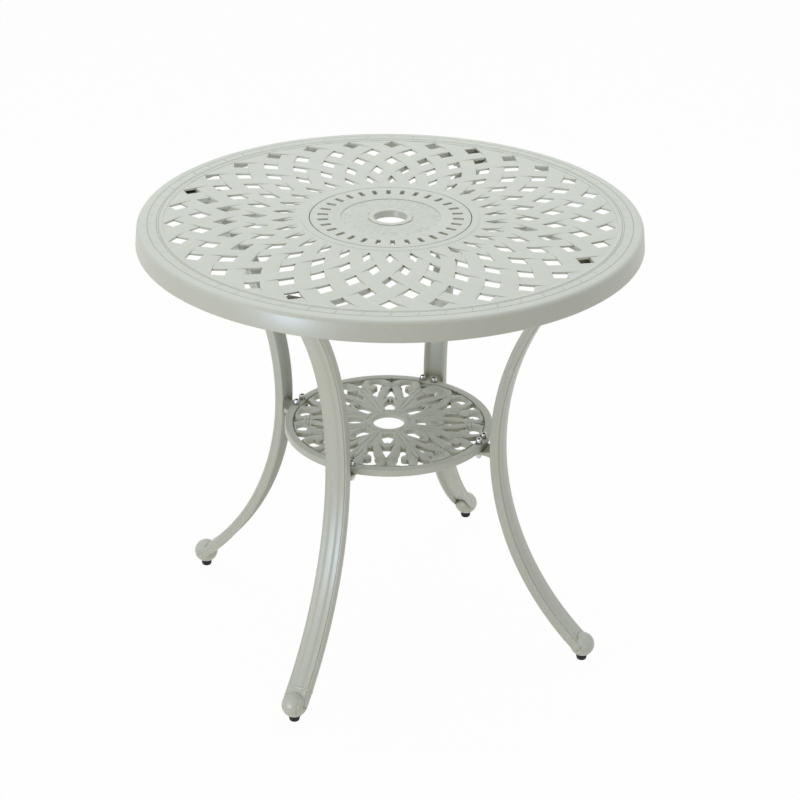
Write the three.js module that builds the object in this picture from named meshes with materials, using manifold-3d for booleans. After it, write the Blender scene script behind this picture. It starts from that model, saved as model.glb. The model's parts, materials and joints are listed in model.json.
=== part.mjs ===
// Round cast-aluminium patio table with a hole for an umbrella pole.
// Millimetres, +Z up. The origin lies on the floor under the middle of the top.
// The four legs stand on +X, +Y, -X and -Y.
import * as THREE from 'three';
import { mergeVertices } from 'three/addons/utils/BufferGeometryUtils.js';
import Module from 'manifold-3d';

const wasm = await Module();
wasm.setup();

// Driving dimensions of the whole table
const tableHeight = 730;
const topRadius = 400;
const shelfTopHeight = 369;
const legCount = 4;

// Clearances shared by the pieces
const seatGap = 0.3;
const boltGap = 0.35;
const cutOverrun = 2;
const mergeTolerance = 0.01;
const fuseDepth = 1.5;

// Casting of the top
const deckThickness = 4;
const borderWidth = 44;
const apronHeight = 33;
const apronWall = 4.5;
const apronFlare = 2.5;
const shoulderRadius = 8;
const shoulderFacets = 3;
const cornerFacets = 3;
const topFacets = 72;

// Lattice of the top: two mirrored families of straps that follow circles through the middle
const strapPairs = 30;
const holeRings = 5;
const borderTurnDegrees = 46.85;
const firstRingTurnDegrees = 44;
const strapWidthAtBorder = 29.5;
const strapWidthAtSeat = 19;

// Ribs cast under one strap from each leg to the seat of the middle disc
const ribDepth = 7;
const ribSteps = 8;
const ribInset = 1;

// Middle disc and the seat that it drops into
const discRadius = 127.3;
const discGap = 0.9;
const discThickness = 5;
const seatWallWidth = 13;
const seatLedgeWidth = 9.5;
const seatLedgeThickness = 4;
const discRingRadius = 90;
const discRingStep = 0.5;
const discFieldRadius = 83;
const discFieldDrop = 1.5;
const umbrellaHoleRadius = 26.5;
const collarWidth = 8.5;
const socketWall = 5.5;
const socketDepth = 12;
const discSlotCount = 30;
const discSlotRadius = 108;
const discSlotLength = 16;
const discSlotWidth = 7;
const discFacets = 48;

// Legs: each one curves in its own upright plane, out from its waist to the foot and to the top
const waistRadius = 195.5;
const waistHeight = 378;
const footRadius = 356.5;
const legDepth = 18;
const legWidth = 39;
const legTopShare = 0.93;
const legSteps = 11;
const crownDrop = 1;
const edgeDrop = 4.5;
const channelDepth = 8;
const channelWall = 4;
const grooveDepth = 1.4;
const grooveWidth = 3;
const beadHeight = 0.8;
const beadLength = 3.5;
const beadReach = 27;

// Foot at the end of each leg
const footBallRadius = 20.3;
const footBallWidth = 37;
const footCenterHeight = 28.5;
const footFlatHeight = 10.3;
const footFacets = 14;
const footRings = 5;

// Screw-in glide under each foot
const glideTopRadius = 9.5;
const glideBottomRadius = 6.5;
const glideEdge = 1.5;
const glideFacets = 12;
const studRadius = 4;
const studLength = 22;
const studInGlide = 5;
const studBoreDepth = 25;
const studFacets = 8;

// Flange at the upper end of each leg, bolted to two bosses under the border
const flangeThickness = 7;
const flangeWidth = 46;
const flangeSpan = 28;
const flangeInnerReach = 32;
const flangeOuterReach = 16;
const flangeCorner = 9;
const topBoltInset = 30;
const topBoltSpread = 28;
const bossHeight = 11;
const bossRadius = 9;
const topBoltShankRadius = 3;
const topBoltHeadRadius = 5.6;
const topBoltHeadHeight = 4;
const topBoltBite = 9;
const topWasherRadius = 7;
const topWasherThickness = 1.4;
const fastenerFacets = 8;
const holeFacets = 8;
const roundFacets = 10;

// Lug on each leg that carries the shelf
const lugWidth = 34;
const lugReach = 39;
const lugThickness = 6;
const lugFlatReach = 18;
const lugRootDrop = 5;
const lugRootRise = 9;

// Shelf casting: a pierced plate that carries leaves, buds, scrolls and ties of several heights
const shelfRadius = 172;
const shelfRimWidth = 13.5;
const shelfRimThickness = 12;
const shelfRimRounding = 1.5;
const shelfHoleRadius = 25.5;
const shelfHubWidth = 20.5;
const shelfHubRounding = 2;
const shelfFacets = 48;
const hubFacets = 20;
const leafCount = 8;
const plateBottomDrop = 9.4;
const plateDrop = 2.4;
const leafDrop = 1.6;
const scrollDrop = 1;
const tieDrop = 0.4;
const leafTipRadius = 134;
const budTipRadius = 92;
const scrollRadius = 23;
const scrollCenterRadius = 136.5;
const scrollCenterOffset = 28;
const scrollFacets = 14;
const pocketRadius = 11.3;
const pocketCenterRadius = 139.8;
const pocketCenterOffset = 25.9;
const pocketFacets = 10;
const bulbRadius = 7.4;
const bulbCenterRadius = 126;
const bulbCenterOffset = 31;
const tieInnerRadius = 126;
const tieLength = 15;
const tieWidth = 28;

// Screws, washers and cap nuts that hold the shelf to the lugs
const shelfScrewRadius = 165;
const shelfScrewSpread = 21;
const screwShankRadius = 3;
const screwHeadRadius = 5;
const screwHeadHeight = 6;
const screwSocketRadius = 2.9;
const screwSocketDepth = 3;
const shelfWasherRadius = 6;
const shelfWasherThickness = 1.2;
const capNutHexRadius = 5.8;
const capNutHexHeight = 5;
const capNutDomeHeight = 4.5;
const screwBite = 5;

// Counts and shares of outlines
const halfShare = 0.5;
const crownShares = [0.3, 0.72];
const fullTurn = 2 * Math.PI;
const leafProfileShares = [
  [0.313, 0.045],
  [0.448, 0.09],
  [0.597, 0.127],
  [0.649, 0.119],
  [0.687, 0.09],
  [0.735, 0.056],
  [0.799, 0.075],
  [0.866, 0.097],
  [0.925, 0.082],
  [0.963, 0.049],
];
const budProfileShares = [
  [0.478, 0.098],
  [0.652, 0.13],
  [0.815, 0.141],
  [0.913, 0.125],
  [0.967, 0.082],
];

// Holes of the shelf as shares of its radius, along and across a tie's azimuth: the hole in a bud,
// half of the hole between two stems and half of the slit at the rim
const budHoleShares = [
  [0.247, 0],
  [0.267, 0.026],
  [0.276, 0.055],
  [0.326, 0.061],
  [0.366, 0.052],
  [0.407, 0.035],
  [0.445, 0],
];
const stemHoleShares = [
  [0.532, 0],
  [0.532, 0.047],
  [0.576, 0.044],
  [0.616, 0.038],
  [0.686, 0.019],
  [0.738, 0],
];
const slitShares = [
  [0.855, 0],
  [0.926, 0.013],
  [0.926, 0],
];

// Slot between a stem and a leaf that runs into the pocket of a scroll, and half of the hole
// beyond the tip of a leaf
const slotShares = [
  [0.544, 0.127],
  [0.686, 0.105],
  [0.756, 0.086],
  [0.814, 0.085],
  [0.814, 0.151],
  [0.709, 0.151],
  [0.674, 0.179],
  [0.558, 0.176],
];
const tipHoleShares = [
  [0.779, 0],
  [0.814, 0.019],
  [0.855, 0.041],
  [0.912, 0.086],
  [0.922, 0],
];
const hexSides = 6;
const domeSteps = 3;
const tipPasses = 5;

// Materials
const coat = { color: 0xc9cfc6, roughness: 0.42, metalness: 0 };
const zinc = { color: 0x9a9b98, roughness: 0.3, metalness: 0.9 };
const rubber = { color: 0x18181a, roughness: 0.55, metalness: 0 };

const radians = (degrees) => degrees * Math.PI / 180;
const mix = (from, to, share) => from + (to - from) * share;

// A three.js geometry as a solid that can be joined and cut
function solidOf(geometry) {
  const bare = geometry.clone();
  bare.deleteAttribute('normal');
  bare.deleteAttribute('uv');
  const merged = mergeVertices(bare);
  const corners = merged.index.array;
  const kept = [];
  for (let i = 0; i < corners.length; i += 3) {
    const [a, b, c] = [corners[i], corners[i + 1], corners[i + 2]];
    if (a !== b && b !== c && c !== a) kept.push(a, b, c);
  }
  const vertProperties = new Float32Array(merged.attributes.position.array);
  const triVerts = new Uint32Array(kept);
  return new wasm.Manifold(new wasm.Mesh({ numProp: 3, vertProperties, triVerts }));
}

// A solid back as a three.js geometry
function geometryOf(solid) {
  const { vertProperties, triVerts } = solid.asOriginal().simplify(mergeTolerance).getMesh();
  const geometry = new THREE.BufferGeometry();
  geometry.setAttribute('position', new THREE.BufferAttribute(new Float32Array(vertProperties), 3));
  geometry.setIndex(new THREE.BufferAttribute(new Uint32Array(triVerts), 1));
  geometry.computeVertexNormals();
  return geometry;
}

function makeMesh(name, solid, finish) {
  const mesh = new THREE.Mesh(geometryOf(solid), new THREE.MeshStandardMaterial(finish));
  mesh.name = name;
  return mesh;
}

// A profile of radius and height turned about the Z axis
function turned(profile, facets) {
  const points = profile.map(([radius, height]) => new THREE.Vector2(radius, height));
  return solidOf(new THREE.LatheGeometry(points, facets).rotateX(Math.PI / 2));
}

// A closed profile turned about the Z axis
function turnedRing(profile, facets) {
  return turned([...profile, profile[0]], facets);
}

// A flat outline, given as XY points, raised from one height to another
function raised(outlines, bottom, top) {
  const shapes = outlines.map((outline) => new THREE.Shape(outline));
  const geometry = new THREE.ExtrudeGeometry(shapes, { depth: top - bottom, bevelEnabled: false });
  return solidOf(geometry.translate(0, 0, bottom));
}

// A round pin or hole that stands on Z
function pin(radius, bottom, top, facets, x = 0, y = 0) {
  const geometry = new THREE.CylinderGeometry(radius, radius, top - bottom, facets);
  geometry.rotateX(Math.PI / 2);
  return solidOf(geometry.translate(x, y, (bottom + top) / 2));
}

function joined(solids) {
  return solids.reduce((sum, solid) => sum.add(solid));
}

const polar = (radius, angle) => new THREE.Vector2(radius * Math.cos(angle), radius * Math.sin(angle));

// Heights and radii that follow from the driving dimensions
const deckBottom = tableHeight - deckThickness;
const borderInner = topRadius - borderWidth;
const seatRadius = discRadius + discGap;
const seatOuter = seatRadius + seatWallWidth;
const ledgeInner = seatRadius - seatLedgeWidth;
const ledgeTop = tableHeight - discThickness - seatGap;
const ledgeBottom = ledgeTop - seatLedgeThickness;
const bossBottom = deckBottom - bossHeight;
const flangeTop = bossBottom - seatGap;
const flangeBottom = flangeTop - flangeThickness;
const strapCircle = borderInner / Math.sin(radians(borderTurnDegrees));
const strapPitch = fullTurn / strapPairs;
const shelfBottom = shelfTopHeight - shelfRimThickness;
const shelfInner = shelfRadius - shelfRimWidth;
const plateBottom = shelfTopHeight - plateBottomDrop;
const lugTop = shelfBottom - seatGap;
const nutSeat = lugTop - lugThickness - seatGap;
const topBoltRadius = topRadius - topBoltInset;
const legTopRadius = topBoltRadius - flangeSpan;
const lowerArc = arcThrough(footRadius - waistRadius, waistHeight - footCenterHeight);
const upperArc = arcThrough(legTopRadius - waistRadius, flangeTop - waistHeight);
const footTurn = -Math.asin((waistHeight - footCenterHeight) / lowerArc);
const topTurn = Math.asin((flangeTop - waistHeight) / (upperArc - legDepth / 2));

// Radius of an arc that starts upright and ends this far out and this far up or down
function arcThrough(out, along) {
  return (out * out + along * along) / (2 * out);
}

// Turn of a strap about the Z axis where it crosses a radius
const strapTurn = (radius) => Math.asin(radius / strapCircle);

function strapWidth(radius) {
  const share = (radius - seatOuter) / (borderInner - seatOuter);
  return mix(strapWidthAtSeat, strapWidthAtBorder, share);
}

// Half of a strap's width as an angle about the Z axis
function strapHalfAngle(radius) {
  const slant = Math.sqrt(1 - (radius / strapCircle) ** 2);
  return strapWidth(radius) / (2 * radius * slant);
}

// Radius where a lattice hole comes to its outer or inner tip
function holeTip(centerTurn, side) {
  let radius = strapCircle * Math.sin(centerTurn);
  for (let pass = 0; pass < tipPasses; pass += 1) {
    const reach = strapPitch / 2 - strapHalfAngle(radius);
    radius = strapCircle * Math.sin(centerTurn + side * reach);
  }
  return radius;
}

// Outline of one diamond hole between four straps
function holeOutline(ring, column) {
  const centerTurn = radians(firstRingTurnDegrees) - ring * strapPitch / 2;
  const middle = strapCircle * Math.sin(centerTurn);
  const angle = Math.PI / 2 + column * strapPitch - ring * strapPitch / 2;
  const spread = strapPitch / 2 - strapHalfAngle(middle);
  return [
    polar(holeTip(centerTurn, -1), angle),
    polar(middle, angle + spread),
    polar(holeTip(centerTurn, 1), angle),
    polar(middle, angle - spread),
  ].reverse();
}

function latticeHoles() {
  const outlines = [];
  for (let ring = 0; ring < holeRings; ring += 1) {
    for (let column = 0; column < strapPairs; column += 1) outlines.push(holeOutline(ring, column));
  }
  return raised(outlines, deckBottom - cutOverrun, tableHeight + cutOverrun);
}

// Flat plate of the lattice between the seat and the border
function latticePlate() {
  const plate = turnedRing([
    [seatOuter - fuseDepth, deckBottom],
    [borderInner + fuseDepth, deckBottom],
    [borderInner + fuseDepth, tableHeight],
    [seatOuter - fuseDepth, tableHeight],
  ], topFacets);
  return plate.subtract(latticeHoles());
}

// Border, rounded shoulder and hanging apron as one turned profile
function borderAndApron() {
  const edge = topRadius - apronFlare;
  const apronBottom = tableHeight - apronHeight;
  const shoulder = [];
  for (let step = 0; step <= shoulderFacets; step += 1) {
    const angle = Math.PI / 2 * (1 - step / shoulderFacets);
    const radius = edge - shoulderRadius + shoulderRadius * Math.cos(angle);
    const height = tableHeight - shoulderRadius + shoulderRadius * Math.sin(angle);
    shoulder.push([radius, height]);
  }
  return turnedRing([
    [borderInner, deckBottom],
    [edge - apronWall - shoulderRadius / 2, deckBottom],
    [edge - apronWall, deckBottom - shoulderRadius / 2],
    [topRadius - apronWall, apronBottom],
    [topRadius, apronBottom],
    ...shoulder.reverse(),
    [borderInner, tableHeight],
  ], topFacets);
}

// Ring with the ledge that carries the middle disc
function discSeat() {
  return turnedRing([
    [ledgeInner, ledgeBottom],
    [seatOuter, ledgeBottom],
    [seatOuter, tableHeight],
    [seatRadius, tableHeight],
    [seatRadius, ledgeTop],
    [ledgeInner, ledgeTop],
  ], discFacets);
}

// Rib under the strap that crosses the given azimuth at the first ring of holes
function strapRib(azimuth) {
  const start = azimuth + radians(firstRingTurnDegrees);
  const left = [];
  const right = [];
  for (let step = 0; step <= ribSteps; step += 1) {
    const radius = mix(seatOuter - fuseDepth, borderInner + fuseDepth, step / ribSteps);
    const angle = start - strapTurn(radius);
    const half = strapHalfAngle(radius) * (1 - 2 * ribInset / strapWidth(radius));
    left.push(polar(radius, angle + half));
    right.push(polar(radius, angle - half));
  }
  return raised([[...right, ...left.reverse()]], deckBottom - ribDepth, deckBottom + fuseDepth);
}

// Azimuth of the strap crossing nearest to a leg, counted on the first ring
function ribAzimuth(leg) {
  const legAzimuth = leg * fullTurn / legCount;
  const crossing = Math.PI / 2 + strapPitch / 2;
  return crossing + Math.round((legAzimuth - crossing) / strapPitch) * strapPitch;
}

// Places of the two fasteners that each leg has at one radius
function fastenerPlaces(radius, spread) {
  return [-1, 1].map((side) => new THREE.Vector3(radius, side * spread / 2, 0));
}

// One pin or hole at each of those two places
function pinPair(radius, bottom, top, placeRadius, spread) {
  const places = fastenerPlaces(placeRadius, spread);
  return joined(places.map(({ x, y }) => pin(radius, bottom, top, holeFacets, x, y)));
}

function turnedToLeg(solid, leg) {
  return solid.rotate([0, 0, leg * 360 / legCount]);
}

// Bosses with blind screw holes for the flange of one leg
function legBosses() {
  return pinPair(bossRadius, bossBottom, deckBottom + fuseDepth, topBoltRadius, topBoltSpread);
}

function legBossHoles() {
  const radius = topBoltShankRadius + boltGap;
  const top = bossBottom + topBoltBite + boltGap;
  return pinPair(radius, bossBottom - cutOverrun, top, topBoltRadius, topBoltSpread);
}

function tableTop() {
  let top = joined([latticePlate(), borderAndApron(), discSeat()]);
  for (let leg = 0; leg < legCount; leg += 1) {
    top = top.add(strapRib(ribAzimuth(leg)));
    top = top.add(turnedToLeg(legBosses(), leg));
  }
  for (let leg = 0; leg < legCount; leg += 1) top = top.subtract(turnedToLeg(legBossHoles(), leg));
  return top;
}

// Disc that drops into the seat, with the umbrella hole, its socket and a ring of slots
function centreDisc() {
  const bottom = tableHeight - discThickness;
  const field = tableHeight - discFieldDrop;
  const collar = umbrellaHoleRadius + collarWidth;
  const disc = turnedRing([
    [umbrellaHoleRadius, tableHeight - socketDepth],
    [umbrellaHoleRadius + socketWall, tableHeight - socketDepth],
    [umbrellaHoleRadius + socketWall, bottom],
    [discRadius, bottom],
    [discRadius, tableHeight],
    [discRingRadius, tableHeight],
    [discRingRadius, tableHeight - discRingStep],
    [discFieldRadius, tableHeight - discRingStep],
    [discFieldRadius, field],
    [collar, field],
    [collar - discFieldDrop, tableHeight],
    [umbrellaHoleRadius, tableHeight],
  ], discFacets);
  const slots = [];
  for (let slot = 0; slot < discSlotCount; slot += 1) {
    slots.push(slotOutline(slot * fullTurn / discSlotCount));
  }
  return disc.subtract(raised(slots, bottom - cutOverrun, tableHeight + cutOverrun));
}

function slotOutline(angle) {
  const inner = discSlotRadius - discSlotLength / 2;
  const outer = discSlotRadius + discSlotLength / 2;
  const half = discSlotWidth / 2;
  const corners = [[inner, -half], [outer, -half], [outer, half], [inner, half]];
  return corners.map(([x, y]) => new THREE.Vector2(x, y).rotateAround(new THREE.Vector2(), angle));
}

// Cross-section of a leg: X runs outwards from the table, Y across the leg.
// The outer face is crowned, a groove runs along each side and the inner face is an open channel.
function legSection() {
  const outer = legDepth / 2;
  const side = legWidth / 2;
  const grooveStart = outer - edgeDrop - grooveWidth * halfShare;
  return mirroredShape([
    [outer, side * crownShares[0]],
    [outer - crownDrop, side * crownShares[1]],
    [outer - edgeDrop, side],
    [grooveStart, side],
    [grooveStart - grooveWidth * halfShare, side - grooveDepth],
    [grooveStart - grooveWidth, side],
    [-outer, side],
    [-outer, side - channelWall],
    [channelDepth - outer, side - channelWall * 2],
  ]);
}

// Plain outline of the bead that runs round the leg above the ball
function beadSection() {
  const outer = legDepth / 2 + beadHeight;
  const side = legWidth / 2 + beadHeight;
  return mirroredShape([
    [outer, side * crownShares[0]],
    [outer - crownDrop, side * crownShares[1]],
    [outer - edgeDrop, side],
    [-outer, side],
  ]);
}

function mirroredShape(half) {
  const mirrored = half.map(([x, y]) => [x, -y]).reverse();
  return new THREE.Shape([...half, ...mirrored].map(([x, y]) => new THREE.Vector2(x, y)));
}

// Point of a leg's own plane: a turn from the waist along the lower or upper arc,
// and an offset towards the arc's centre
function onLegArc(turn, offset) {
  const arc = turn < 0 ? lowerArc : upperArc;
  const reach = arc - offset;
  return [waistRadius + arc - reach * Math.cos(turn), waistHeight + reach * Math.sin(turn)];
}

// Straight extrusion of a section bent along the leg's arc between two turns
function bent(section, fromTurn, toTurn, steps, endScale) {
  const options = { depth: 1, steps, bevelEnabled: false };
  const geometry = new THREE.ExtrudeGeometry(section, options);
  const points = geometry.attributes.position;
  for (let i = 0; i < points.count; i += 1) {
    const share = points.getZ(i);
    const scale = mix(1, endScale, share);
    const [x, z] = onLegArc(mix(fromTurn, toTurn, share), points.getX(i) * scale);
    points.setXYZ(i, x, points.getY(i) * scale, z);
  }
  return solidOf(geometry);
}

// Ball at the foot with a small flat on each side, turned about an axis across the leg
function footBall() {
  const half = footBallWidth / 2;
  const widest = Math.asin(half / footBallRadius);
  const profile = [[0, -half]];
  for (let ring = 0; ring <= footRings; ring += 1) {
    const angle = mix(-widest, widest, ring / footRings);
    profile.push([footBallRadius * Math.cos(angle), footBallRadius * Math.sin(angle)]);
  }
  profile.push([0, half]);
  const points = profile.map(([radius, along]) => new THREE.Vector2(radius, along));
  const geometry = new THREE.LatheGeometry(points, footFacets);
  return solidOf(geometry.translate(footRadius, 0, footCenterHeight));
}

function footBead() {
  const start = footTurn + beadReach / lowerArc;
  return bent(beadSection(), start, start + beadLength / lowerArc, 1, 1);
}

function legFlangeOutline() {
  const inner = legTopRadius - flangeInnerReach;
  const outer = topBoltRadius + flangeOuterReach;
  const half = flangeWidth / 2;
  const shape = new THREE.Shape();
  shape.moveTo(inner, -half);
  shape.lineTo(outer - flangeCorner, -half);
  shape.quadraticCurveTo(outer, -half, outer, -half + flangeCorner);
  shape.lineTo(outer, half - flangeCorner);
  shape.quadraticCurveTo(outer, half, outer - flangeCorner, half);
  shape.lineTo(inner, half);
  return shape.getPoints(cornerFacets);
}

// Lug that reaches in from the leg under the rim of the shelf and thickens at its root
function shelfLug() {
  const inner = waistRadius - lugReach;
  const bottom = lugTop - lugThickness;
  const profile = [
    [inner, bottom],
    [inner + lugFlatReach, bottom],
    [waistRadius, bottom - lugRootDrop],
    [waistRadius, lugTop + lugRootRise],
    [shelfRadius + fuseDepth, lugTop],
    [inner, lugTop],
  ];
  const shape = new THREE.Shape(profile.map(([x, z]) => new THREE.Vector2(x, z)));
  const geometry = new THREE.ExtrudeGeometry(shape, { depth: lugWidth, bevelEnabled: false });
  return solidOf(geometry.rotateX(Math.PI / 2).translate(0, lugWidth / 2, 0));
}

// Everything above the flange's upper face and below the foot's flat
function legTrimmings() {
  const reach = 2 * (topRadius + footRadius);
  const above = new THREE.BoxGeometry(reach, reach, reach).translate(0, 0, flangeTop + reach / 2);
  const below = new THREE.BoxGeometry(reach, reach, reach).translate(0, 0, footFlatHeight - reach / 2);
  return solidOf(above).add(solidOf(below));
}

function legHoles() {
  const boltHole = topBoltShankRadius + boltGap;
  const screwHole = screwShankRadius + boltGap;
  const studTop = footFlatHeight + studBoreDepth;
  return joined([
    pinPair(boltHole, flangeBottom - cutOverrun, flangeTop + cutOverrun, topBoltRadius, topBoltSpread),
    pinPair(screwHole, nutSeat - cutOverrun, lugTop + cutOverrun, shelfScrewRadius, shelfScrewSpread),
    pin(studRadius + seatGap, footFlatHeight - cutOverrun, studTop, holeFacets, footRadius),
  ]);
}

function leg() {
  const flange = raised([legFlangeOutline()], flangeBottom, flangeTop);
  const stem = bent(legSection(), footTurn, topTurn, legSteps, legTopShare);
  const body = joined([stem, footBall(), footBead(), flange, shelfLug()]);
  return body.subtract(legTrimmings()).subtract(legHoles());
}

// Pointed outline along +X, the same on both sides, from shares of the radius of its tip
function pointedOutline(profileShares, tipRadius) {
  const upper = profileShares.map(([along, across]) => new THREE.Vector2(along, across));
  const lower = profileShares.map(([along, across]) => new THREE.Vector2(along, -across));
  const outline = [...lower, new THREE.Vector2(1, 0), ...upper.reverse()];
  return outline.map((point) => point.multiplyScalar(tipRadius));
}

// Outline of a hole of the shelf from the half of it
function wholeOutline(shares) {
  const upper = shares.map(([along, across]) => new THREE.Vector2(along, across));
  const lower = shares.slice(1, -1).map(([along, across]) => new THREE.Vector2(along, -across));
  const outline = [...upper, ...lower.reverse()].reverse();
  return outline.map((point) => point.multiplyScalar(shelfRadius));
}

// Hooked hole on one side of a tie: a slot and a round pocket that curl round a bulb
function hookHole(side, bottom, top) {
  const slot = slotShares.map(([along, across]) => new THREE.Vector2(along, side * across));
  if (side > 0) slot.reverse();
  const outline = slot.map((point) => point.multiplyScalar(shelfRadius));
  const across = side * pocketCenterOffset;
  const pocket = pin(pocketRadius, bottom, top, pocketFacets, pocketCenterRadius, across);
  const bulbAcross = side * bulbCenterOffset;
  const bulb = pin(bulbRadius, bottom, top, pocketFacets, bulbCenterRadius, bulbAcross);
  return raised([outline], bottom, top).add(pocket).subtract(bulb);
}

// One part of the shelf's relief, raised from the underside of the plate
function relief(outline, drop) {
  return raised([outline], plateBottom, shelfTopHeight - drop);
}

// Tie with the bud below it and the discs of its two scrolls
function shelfTie() {
  const half = tieWidth / 2;
  const corners = [[0, -half], [tieLength, -half], [tieLength, half], [0, half]];
  const tie = corners.map(([x, y]) => new THREE.Vector2(tieInnerRadius + x, y));
  const top = shelfTopHeight - scrollDrop;
  const scrolls = [-1, 1].map((side) => (
    pin(scrollRadius, plateBottom, top, scrollFacets, scrollCenterRadius, side * scrollCenterOffset)
  ));
  const bud = relief(pointedOutline(budProfileShares, budTipRadius), leafDrop);
  return joined([relief(tie, tieDrop), bud, ...scrolls]);
}

// Holes of one eighth of the shelf
function shelfHoles() {
  const bottom = shelfBottom - cutOverrun;
  const top = shelfTopHeight + cutOverrun;
  const hooks = [-1, 1].map((side) => hookHole(side, bottom, top));
  const middle = [budHoleShares, stemHoleShares, slitShares].map(wholeOutline);
  const tipHole = raised([wholeOutline(tipHoleShares)], bottom, top);
  return joined([...hooks, raised(middle, bottom, top), tipHole.rotate([0, 0, 180 / leafCount])]);
}

function shelfRim() {
  return turnedRing([
    [shelfInner, shelfBottom],
    [shelfRadius, shelfBottom],
    [shelfRadius, shelfTopHeight - shelfRimRounding],
    [shelfRadius - shelfRimRounding, shelfTopHeight],
    [shelfInner + shelfRimRounding, shelfTopHeight],
    [shelfInner, shelfTopHeight - shelfRimRounding],
  ], shelfFacets);
}

// Plate between the hub and the rim
function shelfPlate() {
  const inner = shelfHoleRadius + shelfHubWidth - fuseDepth;
  return turnedRing([
    [inner, plateBottom],
    [shelfInner + fuseDepth, plateBottom],
    [shelfInner + fuseDepth, shelfTopHeight - plateDrop],
    [inner, shelfTopHeight - plateDrop],
  ], shelfFacets);
}

function shelfHub() {
  const outer = shelfHoleRadius + shelfHubWidth;
  const top = shelfTopHeight - leafDrop;
  return turnedRing([
    [shelfHoleRadius + shelfHubRounding, plateBottom],
    [outer, plateBottom],
    [outer, top],
    [shelfHoleRadius + shelfHubRounding, top],
    [shelfHoleRadius, top - shelfHubRounding],
    [shelfHoleRadius, plateBottom + shelfHubRounding],
  ], hubFacets);
}

function shelf() {
  const between = [0, 0, 180 / leafCount];
  const leaf = relief(pointedOutline(leafProfileShares, leafTipRadius), leafDrop);
  const sector = leaf.add(shelfTie().rotate(between));
  const holes = shelfHoles().rotate(between);
  const turns = Array.from({ length: leafCount }, (_, index) => [0, 0, index * 360 / leafCount]);
  let body = joined([shelfRim(), shelfPlate(), shelfHub()]);
  for (const turn of turns) body = body.add(sector.rotate(turn));
  for (const turn of turns) body = body.subtract(holes.rotate(turn));
  const radius = screwShankRadius + boltGap;
  const bottom = shelfBottom - cutOverrun;
  const top = shelfTopHeight + cutOverrun;
  const screwHoles = pinPair(radius, bottom, top, shelfScrewRadius, shelfScrewSpread);
  for (let leg = 0; leg < legCount; leg += 1) body = body.subtract(turnedToLeg(screwHoles, leg));
  return body;
}

// Socket-head screw that stands in the shelf rim with its head up
function shelfScrew() {
  const seat = shelfTopHeight + 2 * seatGap + shelfWasherThickness;
  const end = nutSeat - screwBite;
  const socket = seat + screwHeadHeight - screwSocketDepth;
  const screw = turned([
    [0, end],
    [screwShankRadius, end],
    [screwShankRadius, seat],
    [screwHeadRadius, seat],
    [screwHeadRadius, seat + screwHeadHeight],
    [0, seat + screwHeadHeight],
  ], roundFacets);
  return screw.subtract(pin(screwSocketRadius, socket, seat + screwHeadHeight + cutOverrun, hexSides));
}

function shelfWasher() {
  const bottom = shelfTopHeight + seatGap;
  return turnedRing([
    [screwShankRadius + boltGap, bottom],
    [shelfWasherRadius, bottom],
    [shelfWasherRadius, bottom + shelfWasherThickness],
    [screwShankRadius + boltGap, bottom + shelfWasherThickness],
  ], holeFacets);
}

// Cap nut with a domed end that hangs under the lug
function shelfCapNut() {
  const hexBottom = nutSeat - capNutHexHeight;
  const hex = pin(capNutHexRadius, hexBottom, nutSeat, hexSides);
  const domeRadius = capNutHexRadius * Math.cos(Math.PI / hexSides) - seatGap;
  const profile = [[0, hexBottom - capNutDomeHeight]];
  for (let step = 1; step <= domeSteps; step += 1) {
    const angle = Math.PI / 2 * (1 - step / domeSteps);
    profile.push([domeRadius * Math.cos(angle), hexBottom - capNutDomeHeight * Math.sin(angle)]);
  }
  profile.push([domeRadius, hexBottom + seatGap], [0, hexBottom + seatGap]);
  const dome = turned(profile, holeFacets);
  const boreBottom = nutSeat - screwBite - boltGap;
  const bore = pin(screwShankRadius + boltGap, boreBottom, nutSeat + cutOverrun, holeFacets);
  return hex.add(dome).subtract(bore);
}

// Hexagon screw that holds a leg flange to a boss, with its head down
function topBolt() {
  const seat = flangeBottom - 2 * seatGap - topWasherThickness;
  const end = bossBottom + topBoltBite;
  const head = pin(topBoltHeadRadius, seat - topBoltHeadHeight, seat, hexSides);
  return head.add(pin(topBoltShankRadius, seat - fuseDepth, end, fastenerFacets));
}

function topWasher() {
  const top = flangeBottom - seatGap;
  return turnedRing([
    [topBoltShankRadius + boltGap, top - topWasherThickness],
    [topWasherRadius, top - topWasherThickness],
    [topWasherRadius, top],
    [topBoltShankRadius + boltGap, top],
  ], holeFacets);
}

// Plastic glide whose blind hole takes the lower end of its stud
function glide() {
  const top = footFlatHeight - seatGap;
  const body = turned([
    [0, 0],
    [glideBottomRadius - glideEdge, 0],
    [glideBottomRadius, glideEdge * halfShare],
    [glideTopRadius, top - glideEdge],
    [glideTopRadius - glideEdge * halfShare, top],
    [0, top],
  ], glideFacets);
  return body.subtract(pin(studRadius + seatGap, top - studInGlide, top + cutOverrun, fastenerFacets));
}

function glideStud() {
  const bottom = footFlatHeight - studInGlide;
  return pin(studRadius, bottom, bottom + studLength, studFacets);
}

// A copy of a fastener's solid for each of its places round the table
function placedPairs(group, name, solid, radius, spread, finish) {
  const places = fastenerPlaces(radius, spread);
  for (let leg = 0; leg < legCount; leg += 1) {
    const arm = new THREE.Group();
    arm.rotation.z = leg * fullTurn / legCount;
    places.forEach((place, index) => {
      const mesh = makeMesh(`${name}_${2 * leg + index + 1}`, solid, finish);
      mesh.position.copy(place);
      arm.add(mesh);
    });
    group.add(arm);
  }
}

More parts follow.
